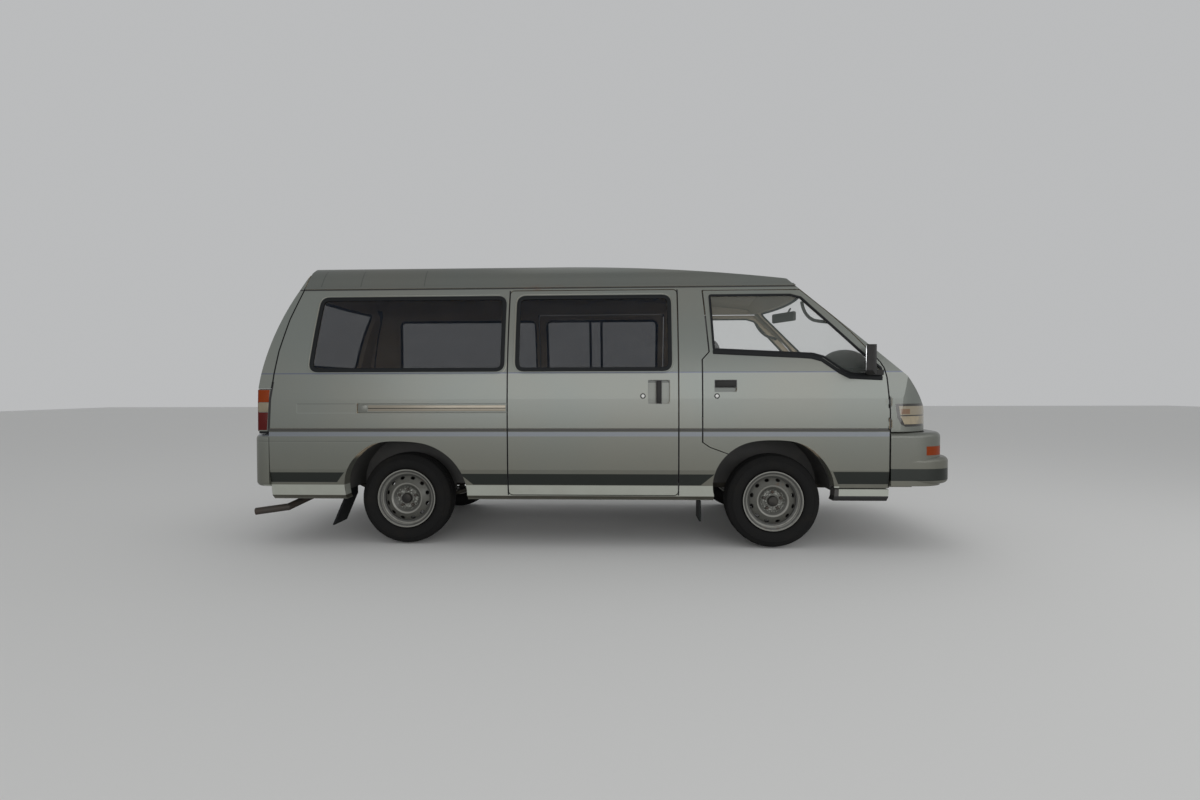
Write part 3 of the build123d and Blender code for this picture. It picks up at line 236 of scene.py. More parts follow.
# Black trim at the belt, carried on to the door's edge as a painted shadow line, and a dark line under the
# gutter, part rubber and part painted shadow; then the bright sill, the painted belt highlight, the painted
# crease shade and the gutter
TRIM_AND_SHADOW_LINES = ((0.7695, 0.7905, -2.155, 1.875), (1.7125, 1.7215, -2.10, 1.35))
SILL = (0.347, 0.417, -2.20, 1.56)
BELT_HIGHLIGHT_LINE = (0.738, 0.766)
CREASE_SHADE_LINE = (1.146, 1.1535)
GUTTER = (1.70, 1.745)
# Bands below the sill, each with its colour
UNDER_SILL = (((0.326, 0.347), UNDER_AND_SHADE_BLACK), ((0.300, 0.326), SILVER), ((0.0, 0.300), UNDER_AND_SHADE_BLACK))
# Faint joints across the roof's sides, as points of height and X
ROOF_JOINTS = (((1.737, -1.862), (1.850, -1.832)), ((1.737, -1.590), (1.850, -1.571)),
               ((1.737, -1.156), (1.850, -1.144)))
JOINT_HALF = 0.0035
# Edges of the door openings, as points of height and X, with half the width of the dark line along each
EDGES = ((((0.404, 1.870), (0.900, 1.870), (1.109, 1.852), (1.172, 1.836), (1.211, 1.814),
           (1.276, 1.757)), 0.0048),
         (((0.700, 0.690), (1.232, 0.690), (1.281, 0.735), (1.692, 0.703)), 0.0048),
         (((0.352, -0.570), (1.700, -0.570)), 0.0048), (((0.352, 0.538), (1.700, 0.538)), 0.0048),
         (((0.770, -2.1520), (0.978, -2.1420), (1.096, -2.1240)), 0.0080),
         (((1.060, -2.1310), (1.096, -2.1250), (1.302, -2.0970), (1.513, -2.0470), (1.693, -1.9850),
           (1.737, -1.9700)), 0.0050))


def edge_line(tree, points, half):
    """Mask of a line through points of height and X."""
    place = along_axes(tree)
    mask = 0.0
    for (low, x_low), (high, x_high) in zip(points, points[1:]):
        slope = (x_high - x_low) / (high - low)
        line = maths(tree, "MULTIPLY_ADD", place["Z"], slope, x_low - slope * low)
        off = maths(tree, "ABSOLUTE", maths(tree, "SUBTRACT", place["X"], line))
        near = smooth_range(tree, off, half * 1.2, half * 0.8)
        level = times(tree, maths(tree, "GREATER_THAN", place["Z"], low),
                      maths(tree, "LESS_THAN", place["Z"], high))
        mask = maths(tree, "MAXIMUM", times(tree, near, level), mask)
    return mask


PAINT_METAL = 0.35
LINING_FROM = 0.60


def make_body_paint(name="body_paint", grips=(), recess_shades=(), lined=True, stripes=STRIPES, belt_highlight=0.75,
                    painted_shade_scale=1.0):
    """Silver metallic paint with the dark stripe, bright sill and black trim of the sides, with painted
    highlights, painted shade and painted shadow lines; its colour can be scaled darker as painted shade for a
    whole part.
    """
    made, tree, shader = material(name, roughness=0.40, metallic=PAINT_METAL, coat=0.15)
    height = along_axes(tree)["Z"]
    silver, warm = (tuple(c * painted_shade_scale for c in tone[:3]) + (1,) for tone in (SILVER, SILVER_WARM))
    colour = blend_colour(tree, smooth_range(tree, noise(tree, 1.3, 2.0), 0.3, 0.7), silver, warm)
    colour = tint(tree, colour, noise(tree, 900.0, 1.0), FLAKE_AND_HIGHLIGHT, 0.12)
    # Painted highlight: a pale bluish line under the belt trim, in some amount
    colour = tint(tree, colour, band(tree, *BELT_HIGHLIGHT_LINE), BELT_HIGHLIGHT_BLUE, belt_highlight)
    # Painted shade: a thin dark bluish line along the crease
    colour = tint(tree, colour, band(tree, *CREASE_SHADE_LINE), CREASE_SHADE_BLUE, 0.8)
    for seam in SEAMS:
        colour = tint(tree, colour, band(tree, *seam), SEAM_AND_SHADE_GREY, 0.75)
    for points in ROOF_JOINTS:
        colour = tint(tree, colour, edge_line(tree, points, JOINT_HALF), SEAM_AND_SHADE_GREY, 0.6)
    # Painted highlights: pale lines beside the pressed lines
    for line in HIGHLIGHTS:
        colour = tint(tree, colour, band(tree, *line), FLAKE_AND_HIGHLIGHT, 0.5)
    for level, tone in UNDER_SILL:
        colour = tint(tree, colour, band(tree, *level), tone)
    # Black trim, the painted shadow lines at the belt and under the gutter, and the dark grips, in one mask
    dark = 0.0
    for dark_line in TRIM_AND_SHADOW_LINES + grips:
        dark = maths(tree, "MAXIMUM", band(tree, *dark_line), dark)
    # Painted shade in the recesses round the handles
    for recess_shade, amount in recess_shades:
        colour = tint(tree, colour, band(tree, *recess_shade), SEAM_AND_SHADE_GREY, amount)
    colour = tint(tree, colour, dark, TRIM_AND_SHADOW_BLACK)
    # Painted shade: the paint darkens towards the bottom of the sides, standing in for the lesser light low
    # down; the same mask raises the roughness
    painted_low_shade = times(tree, smooth_range(tree, height, 1.05, 0.35), 0.62)
    colour = tint(tree, colour, painted_low_shade, LOW_SHADE_COLOUR)
    colour = tint(tree, colour, band(tree, *SILL), SILL_SILVER)
    film = dust(tree, 0.75, 0.22)
    colour = tint(tree, colour, film, DUST_COLOUR)
    for stripe in stripes:
        colour = tint(tree, colour, band(tree, *stripe), STRIPE)
    stain = smooth_range(tree, noise(tree, 3.0, 8.0, 0.75, (0.6, 1.0, 3.0)), 0.60, 0.78)
    colour = tint(tree, colour, times(tree, stain, band(tree, *GUTTER)), RUST, 0.8)
    rough = maths(tree, "ADD", times(tree, film, 0.5), maths(tree, "MULTIPLY_ADD", painted_low_shade, 0.2, 0.32))
    rough = maths(tree, "ADD", rough, times(tree, dark, 0.2))
    if lined:
        inner = from_group(tree, LINING, Middle=BODY_MIDDLE)
        lining = times(tree, inner, smooth_range(tree, height, LINING_FROM - 0.02, LINING_FROM + 0.02))
        colour = tint(tree, colour, lining, LINING_GREY)
        rough = maths(tree, "MAXIMUM", rough, times(tree, lining, 0.8))
        plain = times(tree, maths(tree, "MAXIMUM", lining, dark), PAINT_METAL)
        tree.links.new(maths(tree, "SUBTRACT", PAINT_METAL, plain), shader.inputs["Metallic"])
        for points, half in EDGES:
            colour = tint(tree, colour, edge_line(tree, points, half), TRIM_AND_SHADOW_BLACK)
    feed(tree, shader, colour, rough)
    bump(tree, shader, noise(tree, 260.0, 2.0), 0.03, 0.0005)
    return made


def make_plain(name, colour, roughness, metallic=0.0, coat=0.0, grain=0.0, grain_scale=400.0, worn=None,
               amount=0.3, dusty=0.0, shine=0.5):
    """One coloured finish with some unevenness, a fine grain and, where it is low on the van, dust."""
    made, tree, shader = material(name, roughness=roughness, metallic=metallic, coat=coat, specular=shine)
    other = worn or tuple(min(1.0, c * 1.35 + 0.004) for c in colour[:3]) + (1,)
    uneven = smooth_range(tree, noise(tree, 9.0, 5.0, 0.6), 0.45, 0.8)
    mixed = tint(tree, colour, uneven, other, amount)
    if dusty:
        mixed = tint(tree, mixed, dust(tree, 0.9, dusty, 14.0), DUST_COLOUR)
    feed(tree, shader, mixed, maths(tree, "MULTIPLY_ADD", uneven, 0.12, roughness))
    if grain:
        bump(tree, shader, noise(tree, grain_scale, 3.0), grain, 0.0006)
    return made


def make_glass(name, colour, alpha, roughness=0.02, shine=0.5):
    """Thin glass: a dark or pale tint with clear reflections and faint smears."""
    made, tree, shader = material(name, roughness=roughness, specular=shine)
    smear = smooth_range(tree, noise(tree, 5.0, 6.0, 0.7, (1.0, 1.0, 3.0)), 0.4, 0.8)
    lighter = tuple(min(1.0, c + 0.03) for c in colour[:3]) + (1,)
    feed(tree, shader, tint(tree, colour, smear, lighter, 0.5),
         maths(tree, "MULTIPLY_ADD", smear, 0.05, roughness))
    shader.inputs["Alpha"].default_value = alpha
    return made


# Dark grips round the door handles, and painted shade in the recesses round them: low, high, start, end
DOOR_GRIP = (1.0505, 1.1005, 0.7665, 0.9090)
DOOR_RECESS_SHADE = (1.0230, 1.0505, 0.766, 0.909)
SLIDING_GRIP = (0.9470, 1.1010, 0.3925, 0.4295)
SLIDING_RECESS_SHADES = (((0.9470, 1.0860, 0.3415, 0.3925), 0.40), ((0.9470, 1.0860, 0.4295, 0.4825), 0.28),
                   ((1.0830, 1.1010, 0.3415, 0.4825), 0.95))
BUMPER_STRIPE = (0.456, 0.532, 1.5, 2.60)
paint = make_body_paint()
door_paint = make_body_paint("door_paint", (DOOR_GRIP,), ((DOOR_RECESS_SHADE, 0.7),))
sliding_paint = make_body_paint("sliding_door_paint", (SLIDING_GRIP,), SLIDING_RECESS_SHADES)
# The bumper, nose and roof paints are scaled darker: painted shade
bumper_paint_shaded = make_body_paint("bumper_paint_shaded", lined=False, stripes=(BUMPER_STRIPE,), belt_highlight=0.0, painted_shade_scale=0.77)
nose_paint_shaded = make_body_paint("nose_paint_shaded", painted_shade_scale=0.88)
rear_bumper_paint = make_body_paint("rear_bumper_paint", lined=False, stripes=())
roof_paint_shaded = make_body_paint("roof_paint_shaded", painted_shade_scale=0.62)
black_trim = make_plain("black_trim", (0.010, 0.0095, 0.009, 1), 0.55, grain=0.25, dusty=0.15, shine=0.3)
gasket = make_plain("window_rubber", (0.006, 0.007, 0.008, 1), 0.6, grain=0.1, shine=0.2)
underbody = make_plain("underbody_paint", (0.012, 0.0115, 0.010, 1), 0.8, grain=0.5, grain_scale=120,
                       dusty=0.3, shine=0.2)
tyre_rubber = make_plain("tyre_rubber", (0.009, 0.009, 0.009, 1), 0.78, grain=0.35, grain_scale=220,
                         worn=(0.020, 0.018, 0.015, 1), amount=0.5, shine=0.12)
interior = make_plain("interior_plastic", (0.025, 0.022, 0.019, 1), 0.65, grain=0.35, shine=0.3)
seat_cloth = make_plain("seat_cloth", (0.13, 0.125, 0.13, 1), 0.9, grain=0.8, grain_scale=700)
trim_cloth = make_plain("trim_cloth", (0.105, 0.095, 0.080, 1), 0.85, grain=0.6, grain_scale=500)
mattress_cloth = make_plain("mattress_cloth", (0.42, 0.37, 0.31, 1), 0.9, grain=0.8, grain_scale=600)
plywood = make_plain("plywood", (0.42, 0.29, 0.16, 1), 0.5, grain=0.2)
cast_metal = make_plain("cast_metal", (0.10, 0.10, 0.10, 1), 0.65, metallic=0.5, grain=0.6, grain_scale=150)
bare_steel = make_plain("bare_steel", (0.055, 0.048, 0.042, 1), 0.6, metallic=0.5,
                        worn=(0.075, 0.036, 0.018, 1), amount=0.6)
clear_glass = make_glass("clear_glass", (0.50, 0.56, 0.53, 1), 0.06, shine=0.25)
tinted_glass = make_glass("tinted_glass", (0.002, 0.005, 0.011, 1), 0.43, shine=0.22)
lamp_glass = make_glass("lamp_glass", (0.30, 0.27, 0.21, 1), 0.6, 0.08)
bright_metal = make_plain("bright_metal", (0.26, 0.235, 0.19, 1), 0.35, metallic=0.6, grain=0.05,
                          worn=(0.30, 0.25, 0.20, 1), amount=0.3)
mirror_metal = make_plain("mirror_metal", (0.75, 0.76, 0.77, 1), 0.06, metallic=1.0, amount=0.1)
plate_white_and_lock_highlight = make_plain("blank_plate_and_lock_highlight", (0.62, 0.62, 0.60, 1), 0.4, coat=0.3, dusty=0.4)


WHEEL_GREY = (0.095, 0.095, 0.084, 1)
WHEEL_WORN = (0.085, 0.083, 0.072, 1)
WHEEL_CHIP = (0.34, 0.35, 0.32, 1)
WHEEL_HIGHLIGHT = (0.250, 0.248, 0.225, 1)
WHEEL_SHADE = (0.028, 0.028, 0.026, 1)
# Rings of the wheel's face, painted highlights on the flange and raised ring and painted shade in the wells:
# from and to in reach from its middle, colour, amount
WHEEL_LIGHT_RINGS = ((0.187, 0.200, WHEEL_HIGHLIGHT, 0.75), (0.177, 0.187, WHEEL_SHADE, 0.85),
               (0.166, 0.172, WHEEL_HIGHLIGHT, 0.7), (0.150, 0.162, WHEEL_SHADE, 0.8),
               (0.094, 0.104, WHEEL_HIGHLIGHT, 0.9), (0.078, 0.092, WHEEL_SHADE, 0.45))
HUB_RING = (0.040, 0.078)
RING_BLUR = 0.0012
# Vents round the wheel's face and the dark ovals of painted shade round them: count, reach from the middle,
# half length and half width of the oval
VENTS = 12
VENT_REACH = 0.1376
VENT_SHADE_LONG = 0.0160
VENT_SHADE_WIDE = 0.0105


def make_wheel_steel(name, middle):
    """Grey wheel paint: painted highlights on the flange and raised ring, painted shade in the well, dark
    ovals of painted shade round the vents, chipped hub round the nuts.
    """
    made, tree, shader = material(name, roughness=0.5, metallic=0.25)
    place = along_axes(tree)
    x = maths(tree, "SUBTRACT", place["X"], middle)
    z = maths(tree, "SUBTRACT", place["Z"], WHEEL_Z)
    reach = maths(tree, "SQRT", maths(tree, "ADD", times(tree, x, x), times(tree, z, z)))

    def ring(low, high):
        return times(tree, smooth_range(tree, reach, low - RING_BLUR, low + RING_BLUR),
                     smooth_range(tree, reach, high + RING_BLUR, high - RING_BLUR))

    worn = smooth_range(tree, noise(tree, 30.0, 6.0, 0.7), 0.45, 0.7)
    colour = blend_colour(tree, worn, WHEEL_GREY, WHEEL_WORN)
    # Painted highlights and painted shade, ring by ring
    for low, high, tone, amount in WHEEL_LIGHT_RINGS:
        colour = tint(tree, colour, ring(low, high), tone, amount)
    chips = smooth_range(tree, noise(tree, 95.0, 3.0, 0.6), 0.52, 0.60)
    colour = tint(tree, colour, times(tree, chips, ring(*HUB_RING)), WHEEL_CHIP, 0.7)
    # Painted shade: dark ovals round the vents, larger than the holes, drawn as their shaded openings
    pitch = 2 * math.pi / VENTS
    turn = maths(tree, "ADD", maths(tree, "DIVIDE", maths(tree, "ARCTAN2", z, x), pitch), 2.0 * VENTS)
    along = times(tree, maths(tree, "SUBTRACT", maths(tree, "FRACT", turn), 0.5), VENT_REACH * pitch)
    along = maths(tree, "DIVIDE", along, VENT_SHADE_LONG)
    out = maths(tree, "DIVIDE", maths(tree, "SUBTRACT", reach, VENT_REACH), VENT_SHADE_WIDE)
    vent_shade = maths(tree, "ADD", times(tree, along, along), times(tree, out, out))
    colour = tint(tree, colour, smooth_range(tree, vent_shade, 1.12, 0.9), UNDER_AND_SHADE_BLACK)
    colour = tint(tree, colour, smooth_range(tree, noise(tree, 14.0, 6.0, 0.7), 0.60, 0.72), RUST, 0.35)
    feed(tree, shader, colour, maths(tree, "MULTIPLY_ADD", worn, 0.2, 0.42))
    bump(tree, shader, noise(tree, 300.0, 3.0), 0.08, 0.0005)
    return made


wheel_front = make_wheel_steel("wheel_steel_front", AXLE_F)
wheel_rear = make_wheel_steel("wheel_steel_rear", AXLE_R)


LAMP_EDGE = (0.020, 0.019, 0.016, 1)
LAMP_UPPER = (0.220, 0.190, 0.135, 1)
LAMP_LOWER = (0.300, 0.250, 0.165, 1)
LAMP_AMBER = (0.150, 0.075, 0.035, 1)
# Zones of the headlamp's lens: low, high, start, end, lean
UPPER_ZONE = (0.8735, 0.9300, 1.9320, 9.0, 0.149)
LOWER_ZONES = ((0.858, 0.8660, 1.9340, 9.0, 0.149), (0.8150, 0.8585, 1.9590, 9.0, 0.51))
MARKER_ZONE = (0.880, 0.912, 1.9365, 1.9985)


def make_headlamp():
    """Fluted lens: dark surround, a line across its middle and an amber marker in its upper rear corner."""
    made, tree, shader = material("headlamp_lens", roughness=0.12, coat=0.6)
    lower = maths(tree, "MAXIMUM", *(band(tree, *zone) for zone in LOWER_ZONES))
    glow = smooth_range(tree, noise(tree, 16.0, 2.0), 0.35, 0.65)
    colour = blend_colour(tree, band(tree, *UPPER_ZONE), LAMP_EDGE, LAMP_UPPER)
    colour = tint(tree, colour, lower, blend_colour(tree, glow, LAMP_LOWER, LAMP_UPPER))
    colour = tint(tree, colour, band(tree, *MARKER_ZONE), LAMP_AMBER, 0.85)
    flutes = node(tree, "ShaderNodeTexWave", {"Vector": object_place(tree), "Scale": 28.0, "Distortion": 0.3},
                  wave_type="BANDS", bands_direction="X")
    feed(tree, shader, colour, maths(tree, "MULTIPLY_ADD", glow, 0.08, 0.12))
    bump(tree, shader, flutes.outputs["Fac"], 0.25, 0.0015)
    return made


headlamp_lens = make_headlamp()

FLOOR_DARK = (0.045, 0.044, 0.042, 1)
FLOOR_WORN = (0.075, 0.070, 0.060, 1)
STEP = (0.353, 0.430, 1.56, 1.90)


def make_floor_paint():
    """Dark floor with the silver step ahead of the front wheels."""
    made, tree, shader = material("floor_paint", roughness=0.6)
    patchy = smooth_range(tree, noise(tree, 9.0, 5.0, 0.6), 0.45, 0.8)
    colour = tint(tree, FLOOR_DARK, patchy, FLOOR_WORN, 0.4)
    step = band(tree, *STEP)
    colour = tint(tree, colour, step, SILL_SILVER)
    colour = tint(tree, colour, band(tree, 0.0, STEP[0]), UNDER_AND_SHADE_BLACK, 0.9)
    feed(tree, shader, colour, maths(tree, "MULTIPLY_ADD", step, -0.2, 0.62))
    bump(tree, shader, noise(tree, 300.0, 3.0), 0.2, 0.0005)
    return made


floor_paint = make_floor_paint()
LENS = {"roughness": 0.35, "coat": 0.05, "shine": 0.12, "grain": 0.3, "grain_scale": 120}
amber = make_plain("amber_lens", (0.185, 0.026, 0.001, 1), **LENS)
red = make_plain("red_lens", (0.075, 0.006, 0.005, 1), **LENS)
clear_lens = make_plain("clear_lens", (0.19, 0.165, 0.115, 1), 0.3, coat=0.1, shine=0.25, grain=0.3,
                        grain_scale=120)

# Slot and finish of the small fittings
RUBBER = ("black_plastic", gasket)
BLACK = ("black_plastic", black_trim)
PLASTIC = ("interior_plastic", interior)
STEEL = ("bare_steel", bare_steel)
BRIGHT = ("bare_steel", bright_metal)
MIRROR = ("bare_steel", mirror_metal)

# Finish of each solid, a pair under the name that its two sides share; the tyres have their rubber
FINISH = {
    "cab_front": nose_paint_shaded, "roof": roof_paint_shaded, "side_panel": paint, "sliding_door": sliding_paint,
    "door": door_paint, "tailgate": paint, "front_bumper": bumper_paint_shaded, "rear_bumper": rear_bumper_paint,
    "windscreen": clear_glass, "door_glass": clear_glass, "side_glass": tinted_glass,
    "tailgate_glass": tinted_glass, "headlamps": headlamp_lens, "front_indicators": amber,
    "tail_lamps": red, "grille": black_trim, "mirror": black_trim, "mud_flaps": gasket,
    "floor": floor_paint, "dashboard": interior, "steering_wheel": interior, "front_seats": seat_cloth,
    "mattress": mattress_cloth, "bed_box": plywood, "engine": cast_metal, "exhaust": bare_steel,
    "chassis_frame": underbody, "front_suspension": underbody, "rear_axle": underbody,
    "fuel_tank": underbody, "tow_bar": underbody, "knuckle": cast_metal, "rim_front": wheel_front,
    "rim_rear": wheel_rear,
}
for name, piece in nodes.items():
    shared = name.removesuffix("_left").removesuffix("_right")
    finish = FINISH.get(shared, tyre_rubber)
    piece.data.materials.clear()
    piece.data.materials.append(finish)


# ---- surfaces of the body
NOSE_X = 2.238
# Sides above the crease: radius of their round, and its centre's depth and height
CREASE_Z = 1.150
SIDE_RADIUS = 3.73186
SIDE_IN = 3.70229
SIDE_CENTRE_Z = 0.58799
# Windscreen: radius in plan at its foot, height of the foot, lean, and how far back the centre lies
SCREEN_RADIUS = 3.154
SCREEN_FOOT_Z = 1.123
SCREEN_LEAN = 0.721 / 0.634
SCREEN_BACK = 3.300
# Tailgate: radius in plan, then the round of its upper part in section
BACK_RADIUS = 4.500
BACK_BEND_Z = 1.037
BEND_RADIUS = 1.90412
BEND_IN = 1.88404
BEND_CENTRE_Z = 0.76120
# Inset of the sides below the crease, by height
SIDE_STEPS = ((0.345, 0.033), (0.520, 0.005), (0.780, 0.0), (0.815, 0.001), (0.980, 0.003),
              (CREASE_Z, 0.013))


def side_y(z):
    """Half width of the body at a height."""
    if z >= CREASE_Z:
        return HALF_WIDTH - SIDE_IN + math.sqrt(SIDE_RADIUS ** 2 - (z - SIDE_CENTRE_Z) ** 2)
    for (low, inset_low), (high, inset_high) in zip(SIDE_STEPS, SIDE_STEPS[1:]):
        if z <= high:
            return HALF_WIDTH - inset_low - (inset_high - inset_low) * (z - low) / (high - low)
    return HALF_WIDTH


def screen_x(y, z):
    """X of the windscreen's surface."""
    reach = SCREEN_RADIUS - (z - SCREEN_FOOT_Z) * SCREEN_LEAN
    return NOSE_X - SCREEN_BACK + math.sqrt(reach ** 2 - y ** 2)


def back_x(y, z):
    """X of the tailgate's surface."""
    reach = BACK_RADIUS
    if z >= BACK_BEND_Z:
        reach += math.sqrt(BEND_RADIUS ** 2 - (z - BEND_CENTRE_Z) ** 2) - BEND_IN
    return TAIL_X + BACK_RADIUS - math.sqrt(reach ** 2 - y ** 2)


def rounded(corners, radius, step=0.06):
    """Points round a polygon with its corners rounded and its runs divided."""
    ring = []
    for index, corner in enumerate(corners):
        here, before = Vector(corner), Vector(corners[index - 1])
        after = Vector(corners[(index + 1) % len(corners)])
        to_before, to_after = before - here, after - here
        opening = to_before.angle(to_after) / 2
        reach = min(radius / math.tan(opening), 0.46 * to_before.length, 0.46 * to_after.length)
        start = here + to_before.normalized() * reach
        end = here + to_after.normalized() * reach
        ring += [start.lerp(here, k / 6).lerp(here.lerp(end, k / 6), k / 6) for k in range(7)]
    points = []
    for a, b in zip(ring, ring[1:] + ring[:1]):
        if (b - a).length < 1e-5:
            continue
        runs = max(1, math.ceil((b - a).length / step))
        points += [a.lerp(b, k / runs) for k in range(runs)]
    return points


# ---- modelling steps
def settle():
    """Put the place, turn and scale of the selected piece into its mesh."""
    bpy.ops.object.transform_apply(location=True, rotation=True, scale=True)


def begin(kind, **settings):
    """A new primitive, alone selected."""
    deselect()
    getattr(bpy.ops.mesh, f"primitive_{kind}_add")(**settings)
    return bpy.context.object


def pick(piece):
    deselect()
    bpy.context.view_layer.objects.active = piece
    piece.select_set(True)


def edit(piece, mode="VERT", keep=False):
    """Edit mode with everything selected, or with what code has selected."""
    pick(piece)
    bpy.ops.object.mode_set(mode="EDIT")
    bpy.ops.mesh.select_mode(type=mode)
    if not keep:
        bpy.ops.mesh.select_all(action="SELECT")


def leave():
    bpy.ops.object.mode_set(mode="OBJECT")


def modify(piece, kind, **settings):
    """Add a modifier and apply it."""
    pick(piece)
    added = piece.modifiers.new(kind.lower(), kind)
    for key, value in settings.items():
        setattr(added, key, value)
    bpy.ops.object.modifier_apply(modifier=added.name)


def ease(piece, width, segments=2, degrees=50):
    """Round the edges that are sharper than an angle."""
    modify(piece, "BEVEL", width=width, segments=segments, limit_method="ANGLE",
           angle_limit=math.radians(degrees))


def outwards(piece):
    edit(piece)
    bpy.ops.mesh.remove_doubles(threshold=0.00002)
    bpy.ops.mesh.normals_make_consistent(inside=False)
    leave()


def done(piece, name, body, slot, finish, smooth=40):
    """Name a finished piece, put its place into its mesh, dress it and let it ride."""
    pick(piece)
    settle()
    bpy.ops.object.shade_smooth_by_angle(angle=math.radians(smooth))
    piece.name = name
    piece.data.name = name
    piece.data.materials.clear()
    piece.data.materials.append(finish)
    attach(piece, body)
    return piece


def other_side(piece, name, body, slot):
    """The same piece on the left side of the van, with its own mesh."""
    pick(piece)
    bpy.ops.object.duplicate(linked=False)
    twin = bpy.context.object
    twin.scale = (1, -1, 1)
    settle()
    outwards(twin)
    return done(twin, name, body, slot, piece.data.materials[0])


def both_sides(piece, name, body, slot, finish):
    """A piece of the right side and its twin on the left."""
    done(piece, f"{name}_right", body, slot, finish)
    other_side(piece, f"{name}_left", body.replace("right", "left"), slot)


def closed_line(points, fill="NGON"):
    """Circle whose points are moved to the given ones."""
    piece = begin("circle", vertices=len(points), radius=1.0, fill_type=fill)
    for vertex, point in zip(piece.data.vertices, points):
        vertex.co = point
    return piece


def thicken(piece, thick, edge):
    modify(piece, "SOLIDIFY", thickness=thick, offset=0.0, use_even_offset=True)
    outwards(piece)
    ease(piece, edge)
    return piece


def hoop(points, width, thick, edge=0.0015):
    """Strip of one width that follows a closed line, inwards from it, with rounded edges."""
    piece = closed_line(points)
    edit(piece, "FACE")
    bpy.ops.mesh.inset(thickness=width, depth=0.0, use_even_offset=True)
    bpy.ops.mesh.delete(type="FACE")
    leave()
    return thicken(piece, thick, edge)


def ribbon(points, breadth, thick, edge=0.0015):
    """Strip along an open line; breadth is the vector across it."""
    count = len(points)
    piece = begin("grid", x_subdivisions=count - 1, y_subdivisions=1)
    for index, vertex in enumerate(piece.data.vertices):
        across = -0.5 if index < count else 0.5
        vertex.co = Vector(points[index % count]) + Vector(breadth) * across
    return thicken(piece, thick, edge)


def block(low, high):
    """Box between two corners."""
    piece = begin("cube", size=1.0, location=[(a + b) / 2 for a, b in zip(low, high)])
    piece.scale = [b - a for a, b in zip(low, high)]
    settle()
    return piece


def slab(low, high, edge=0.004):
    """Box between two corners with rounded edges."""
    piece = block(low, high)
    ease(piece, edge, 3, 40)
    return piece


def turned(profile, centre, axis, start, steps):
    """Closed profile of radius and distance along the axis, spun once round it."""
    axis, start = Vector(axis), Vector(start)
    line = [Vector(centre) + start * radius + axis * along for radius, along in profile]
    piece = closed_line(line, "NOTHING")
    edit(piece)
    bpy.ops.mesh.spin(steps=steps, angle=2 * math.pi, center=centre, axis=axis)
    leave()
    outwards(piece)
    return piece


def tube(points, radius, sides=8):
    """Round bar along a smooth open line."""
    deselect()
    bpy.ops.curve.primitive_nurbs_path_add(radius=1.0)
    line = bpy.context.object
    spline = line.data.splines[0]
    spline.points.add(max(0, len(points) - len(spline.points)))
    for index, point in enumerate(spline.points):
        point.co = (*points[min(index, len(points) - 1)], 1.0)
    spline.order_u = 3
    spline.use_endpoint_u = True
    spline.resolution_u = 6
    line.data.bevel_depth = radius
    line.data.bevel_resolution = max(0, sides // 4 - 1)
    line.data.use_fill_caps = True
    bpy.ops.object.convert(target="MESH")
    piece = bpy.context.object
    outwards(piece)
    return piece


# ---- window rubbers
SIDES = (("right", -1), ("left", 1))


def on_side(points, lift=0.0):
    """Points of a side view set on the right body side."""
    return [(p[0], -side_y(p[1]) - lift, p[1]) for p in points]


REAR_WINDOW = ((-1.882, 1.165), (-1.840, 1.658), (-0.597, 1.658), (-0.597, 1.165))
SLIDING_WINDOW = ((-0.514, 1.165), (-0.514, 1.658), (0.490, 1.658), (0.490, 1.165))
DOOR_WINDOW = tuple((AXLE_F + x, z) for x, z in (
    (-0.410, 1.660), (-0.393, 1.294), (0.160, 1.265), (0.236, 1.261), (0.300, 1.242), (0.405, 1.165),
    (0.467, 1.133), (0.672, 1.122), (0.662, 1.180), (0.552, 1.276), (0.233, 1.590), (0.185, 1.640),
    (0.120, 1.660)))


def grown(points, amount):
    """A polygon's points moved away from its middle by amount along each axis."""
    mid = [(min(p[k] for p in points) + max(p[k] for p in points)) / 2 for k in (0, 1)]
    return [tuple(v + math.copysign(amount, v - m) for v, m in zip(p, mid)) for p in points]


# Windows of the right side: corners, corner radius, width of the rubber, how far it goes past the glass, body
WINDOWS = (("rear", REAR_WINDOW, 0.055, 0.027, 0.007, "body"),
           ("sliding", SLIDING_WINDOW, 0.055, 0.027, 0.007, "body"),
           ("door", DOOR_WINDOW, 0.015, 0.014, 0.003, "door_right"))
for name, corners, radius, width, past, body in WINDOWS:
    rubber = hoop(on_side(rounded(grown(corners, past), radius + past)), width, 0.009, 0.003)
    both_sides(rubber, f"{name}_window_rubber", body, *RUBBER)

BEAD_PAST = 0.023
for name, corners, radius, *rest in WINDOWS[:2]:
    bead = hoop(on_side(rounded(grown(corners, BEAD_PAST), radius + BEAD_PAST), -0.001), 0.011, 0.006, 0.0022)
    both_sides(bead, f"{name}_window_bead", "body", "body_paint", paint)

WEATHERSTRIP = tuple((AXLE_F + x, z) for x, z in (
    (-0.396, 1.281), (-0.15, 1.268), (0.160, 1.252), (0.228, 1.247), (0.290, 1.229), (0.345, 1.190),
    (0.398, 1.152), (0.462, 1.119), (0.560, 1.113), (0.668, 1.108)))
strip = ribbon([(x, -side_y(z) - 0.002, z) for x, z in WEATHERSTRIP], (0, 0, 0.028), 0.009, 0.003)
both_sides(strip, "door_weatherstrip", "door_right", *RUBBER)

SCREEN = ((0.745, 1.222), (0.604, 1.692), (-0.604, 1.692), (-0.745, 1.222))
BACKLIGHT = ((0.640, 1.215), (0.570, 1.700), (-0.570, 1.700), (-0.640, 1.215))
